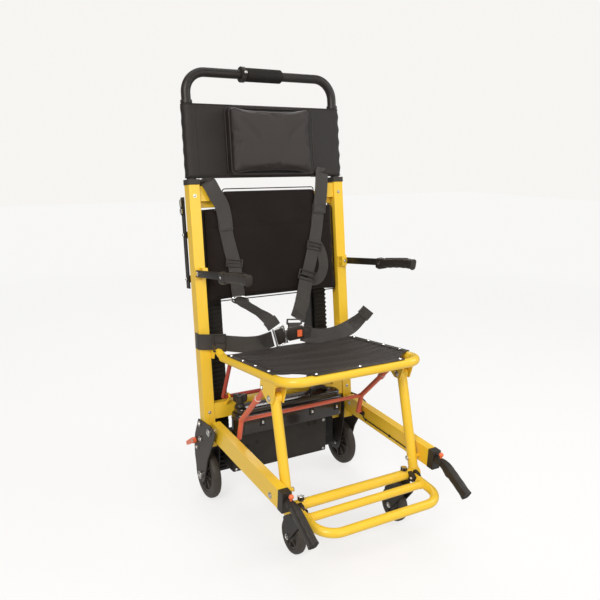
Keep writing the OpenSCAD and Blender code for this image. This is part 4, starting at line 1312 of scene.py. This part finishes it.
def make_shoulder_straps():
    """The webbing that lies on the backrest, with its hems and three slides."""
    left = strap([(-200, 22, 668), (-203, 6, 680), (-200, -6, 674), (-185, -10, 642), (-168, -11, 611),
                  (-161, -11, 575), (-159, -12, 538)], 44)
    left_low = strap([(-161, -8.2, 570), (-157, -8.2, 530), (-149, -9, 485), (-140, -11, 441),
                      (-137, -12, 400), (-134, -15, 345)], 41)
    right = strap([(180, 24, 690), (180, 0, 700), (178, -8, 690), (171, -10.5, 640), (164, -11, 600),
                   (161, -12, 576)], 44)
    right_low = strap([(162, -8.2, 604), (153, -8.6, 545), (144, -10, 505), (136, -11, 476), (120, -13, 430),
                       (104, -15, 385)], 42)
    spare = strap([(139, -7.6, 486), (156, -7.2, 470), (168, -7.6, 438), (168, -9, 404), (154, -10, 377),
                   (131, -11, 368), (107, -12.5, 378)], 34, 1.8, per=10)
    webbing = piece("shoulder_webbing", merged(left, left_low, right, right_low, spare), BACK, WEBBING,
                    "back_frame", ("shoulder_straps",), smooth=50)
    hems = []
    for x, z in ((-160, 542), (-160.5, 562), (161.5, 580), (162.5, 600)):
        hems.append(stitches((x - 18, -13.2, z), (x + 18, -13.2, z), (0, -1, 0)))
    for x, z0, z1 in ((-178, 543, 561), (-142, 543, 561), (144, 581, 599), (180, 581, 599)):
        hems.append(stitches((x, -13.2, z0), (x, -13.2, z1), (0, -1, 0)))
    seams = piece("shoulder_stitching", merged(*hems), BACK, THREAD, "back_frame")
    slides = [slide_adjuster((-140, -12.5, 441), 50, 24, 8), slide_adjuster((136, -13, 474), 50, 26, 14),
              slide_adjuster((103, -17, 384), 60, 32, 18)]
    slide_piece = piece("shoulder_slides", merged(*slides), BACK, PLASTIC, "back_frame")
    for part in (webbing, seams, slide_piece):
        flatten_behind_seat(part)


def make_lower_straps():
    """The shoulder straps' lower parts, which reach forward to the buckle."""
    left = strap([(-134, 24, 612), (-128, 12, 598), (-114, -4, 586), (-92, -24, 570), (-72, -42, 552),
                  (-58, -52, 532)],
                 40, facing=[(0, -1, 0.2), (0.3, -0.9, 0.5), (0.4, -0.7, 0.6), (0.4, -0.7, 0.6),
                             (0.2, -0.9, 0.3), (0, -1, 0)])
    left_end = strap([(-70, -46, 550), (-64, -51, 541), (-57, -55, 528)], 42, 5.0)
    right = strap([(101, 28, 648), (86, 14, 616), (62, -14, 584), (40, -36, 564), (24, -51, 548)], 48,
                  facing=[(0, -1, 0.1), (0, -1, 0.2), (0, -0.9, 0.4), (0, -1, 0.2), (0, -1, 0)])
    right_end = strap([(38, -41, 566), (31, -48, 557), (22, -54, 543)], 50, 5.0)
    webbing = piece("lower_webbing", merged(left, left_end, right, right_end), CHAIR, WEBBING, "back_frame",
                    smooth=50)
    ring_path = []
    for i in range(40):
        a = 2 * math.pi * i / 40
        lift = 12 * math.sin(a) - 5 * math.cos(a)
        ring_path.append(Vector((-132 + 27 * math.cos(a), 18 - 4 * math.sin(a), 603 + lift)))
    ring = swept(ring_path, round_section(2.4, 10), closed=True, up=Vector((0, 1, 0)))
    ring_piece = piece("harness_ring", ring, CHAIR, CHROME, "back_frame")
    for part in (webbing, ring_piece):
        flatten_behind_seat(part)


def make_lap_belts():
    """The left belt comes round its upright to the buckle, and the right one ends loose."""
    left = strap([(-264, 44, 492), (-263, 22, 492), (-246, 13, 491), (-226, 6, 490), (-205, -4, 488),
                  (-172, -22, 484), (-138, -40, 482), (-104, -52, 484), (-68, -57, 493)], 46, 2.6,
                 facing=[(-1, -0.2, 0), (-0.8, -0.7, 0), (-0.2, -1, 0), (-0.2, -1, 0), (-0.35, -1, 0),
                         (-0.4, -0.9, 0.15), (-0.3, -0.9, 0.3), (-0.2, -1, 0.2), (0, -1, 0)])
    left_end = strap([(-100, -52.5, 485), (-84, -56, 489), (-64, -58, 494)], 47, 5.4)
    right = strap([(36, -58, 498), (62, -61, 489), (100, -61, 481), (146, -54, 478), (192, -44, 482),
                   (226, -40, 491), (252, -42, 507), (272, -48, 527), (281, -52, 540)], 46, 2.6, per=10,
                  facing=[(0, -1, 0.1), (0, -1, 0.3), (0.05, -0.9, 0.45), (0.05, -0.9, 0.55),
                          (0.1, -0.8, 0.6), (0.1, -0.9, 0.5), (0.15, -1, 0.1), (0.2, -1, -0.1),
                          (0.2, -1, -0.1)])
    right_end = strap([(264, -47.5, 521), (273, -50, 530), (283, -53.5, 543)], 46, 6.5)
    lip = strap([(36, -60, 499), (48, -61, 496), (62, -62, 493)], 45, 5)
    webbing = piece("lap_webbing", merged(left, left_end, right, right_end, lip), CHAIR, WEBBING,
                    "back_frame", ("lap_belts",), smooth=50)
    slider = slide_adjuster((-210, -5, 488), 34, 54, 0, (-0.4, -1, 0))
    slide_piece = piece("lap_slide", slider, CHAIR, PLASTIC, "back_frame")
    marks = [stitches((x, -60.0 + 0.04 * (x + 90), 472), (x, -60.0 + 0.04 * (x + 90), 508), (0, -1, 0.1))
             for x in (-96, -90)]
    marks.append(stitches((60, -64.4, 474), (60, -64.4, 512), (0, -1, 0.1)))
    seams = piece("lap_stitching", merged(*marks), CHAIR, THREAD, "back_frame")
    for part in (webbing, slide_piece, seams):
        flatten_behind_seat(part)


def tongue_plate(width, height, window):
    """A pressed steel tongue with a slot for its webbing near its upper edge."""
    top, low = height / 2, -height / 2
    outer = rounded_loop([(-width / 2, top), (width / 2, top), (width / 2, top - window - 9),
                          (width * 0.33, top - window - 12), (width * 0.33, low), (-width * 0.33, low),
                          (-width * 0.33, top - window - 12),
                          (-width / 2, top - window - 9)], 3)
    inner = rounded_loop([(-width / 2 + 5, top - 4), (width / 2 - 5, top - 4),
                          (width / 2 - 5, top - 4 - window / 2), (width / 2 - 5, top - 4 - window),
                          (0, top - 4 - window), (-width / 2 + 5, top - 4 - window),
                          (-width / 2 + 5, top - 4 - window / 2), (-width / 2 + 5, top - 5)], 1)
    bm = bmesh.new()
    layers = [([bm.verts.new((x, y, z)) for x, z in outer], [bm.verts.new((x, y, z)) for x, z in inner])
              for y in (-1.3, 1.3)]
    (front, front_in), (rear, rear_in) = layers
    count = len(outer)
    for i in range(count):
        j = (i + 1) % count
        bm.faces.new((front[i], front[j], front_in[j], front_in[i]))
        bm.faces.new((rear[j], rear[i], rear_in[i], rear_in[j]))
        bm.faces.new((front[j], front[i], rear[i], rear[j]))
        bm.faces.new((front_in[i], front_in[j], rear_in[j], rear_in[i]))
    return bm


def make_buckle():
    """The buckle's shell, the left tongue with its cover, and the right tongue above the shell."""
    at = CHAIR @ Matrix.Translation((12, -60, 502)) @ Matrix.Rotation(math.radians(-4), 4, "Y")
    shell = block((-26, -7, -19.5), (26, 7, 19.5), 4, 4)
    mouth = block((-27.5, -5.5, -16), (-22, 5.5, 16), 2, 3)
    frame_line = [block((x, -7.8, -14), (x + 1.6, -6, 14), 0.6, 2) for x in (-19, 0.2, 20.4)]
    piece("buckle_shell", merged(shell, mouth, *frame_line), at, PLASTIC, "back_frame",
          ("buckle",))
    tongue_at = CHAIR @ Matrix.Translation((-40, -60, 499)) @ Matrix.Rotation(math.radians(-16), 4, "Y")
    rails = [block((x - 2, -3.2, -29), (x + 2, 3.4, 29), 1.2, 3) for x in (-17.5, 17.5)]
    bars = [block((-17, -2.4, z - 1.6), (17, 2.4, z + 1.6), 1, 2) for z in (-26, 26)]
    blade = block((14, -1.4, -13), (34, 1.4, 13), 1, 2)
    piece("left_tongue", merged(*rails, *bars, blade), tongue_at, CHROME, "back_frame")
    cover = merged(block((-13.5, -5, -23), (13.5, 3, 23), 2.5, 4),
                   block((-9, -6.2, -18), (9, -4, 18), 1.5, 3))
    piece("left_tongue_cover", cover, tongue_at, PLASTIC, "back_frame")
    right_at = CHAIR @ Matrix.Translation((8, -58, 528)) @ Matrix.Rotation(math.radians(6), 4, "Y")
    piece("right_tongue", tongue_plate(54, 36, 8), right_at, CHROME, "back_frame")


make_shoulder_straps()
make_lower_straps()
make_lap_belts()
make_buckle()
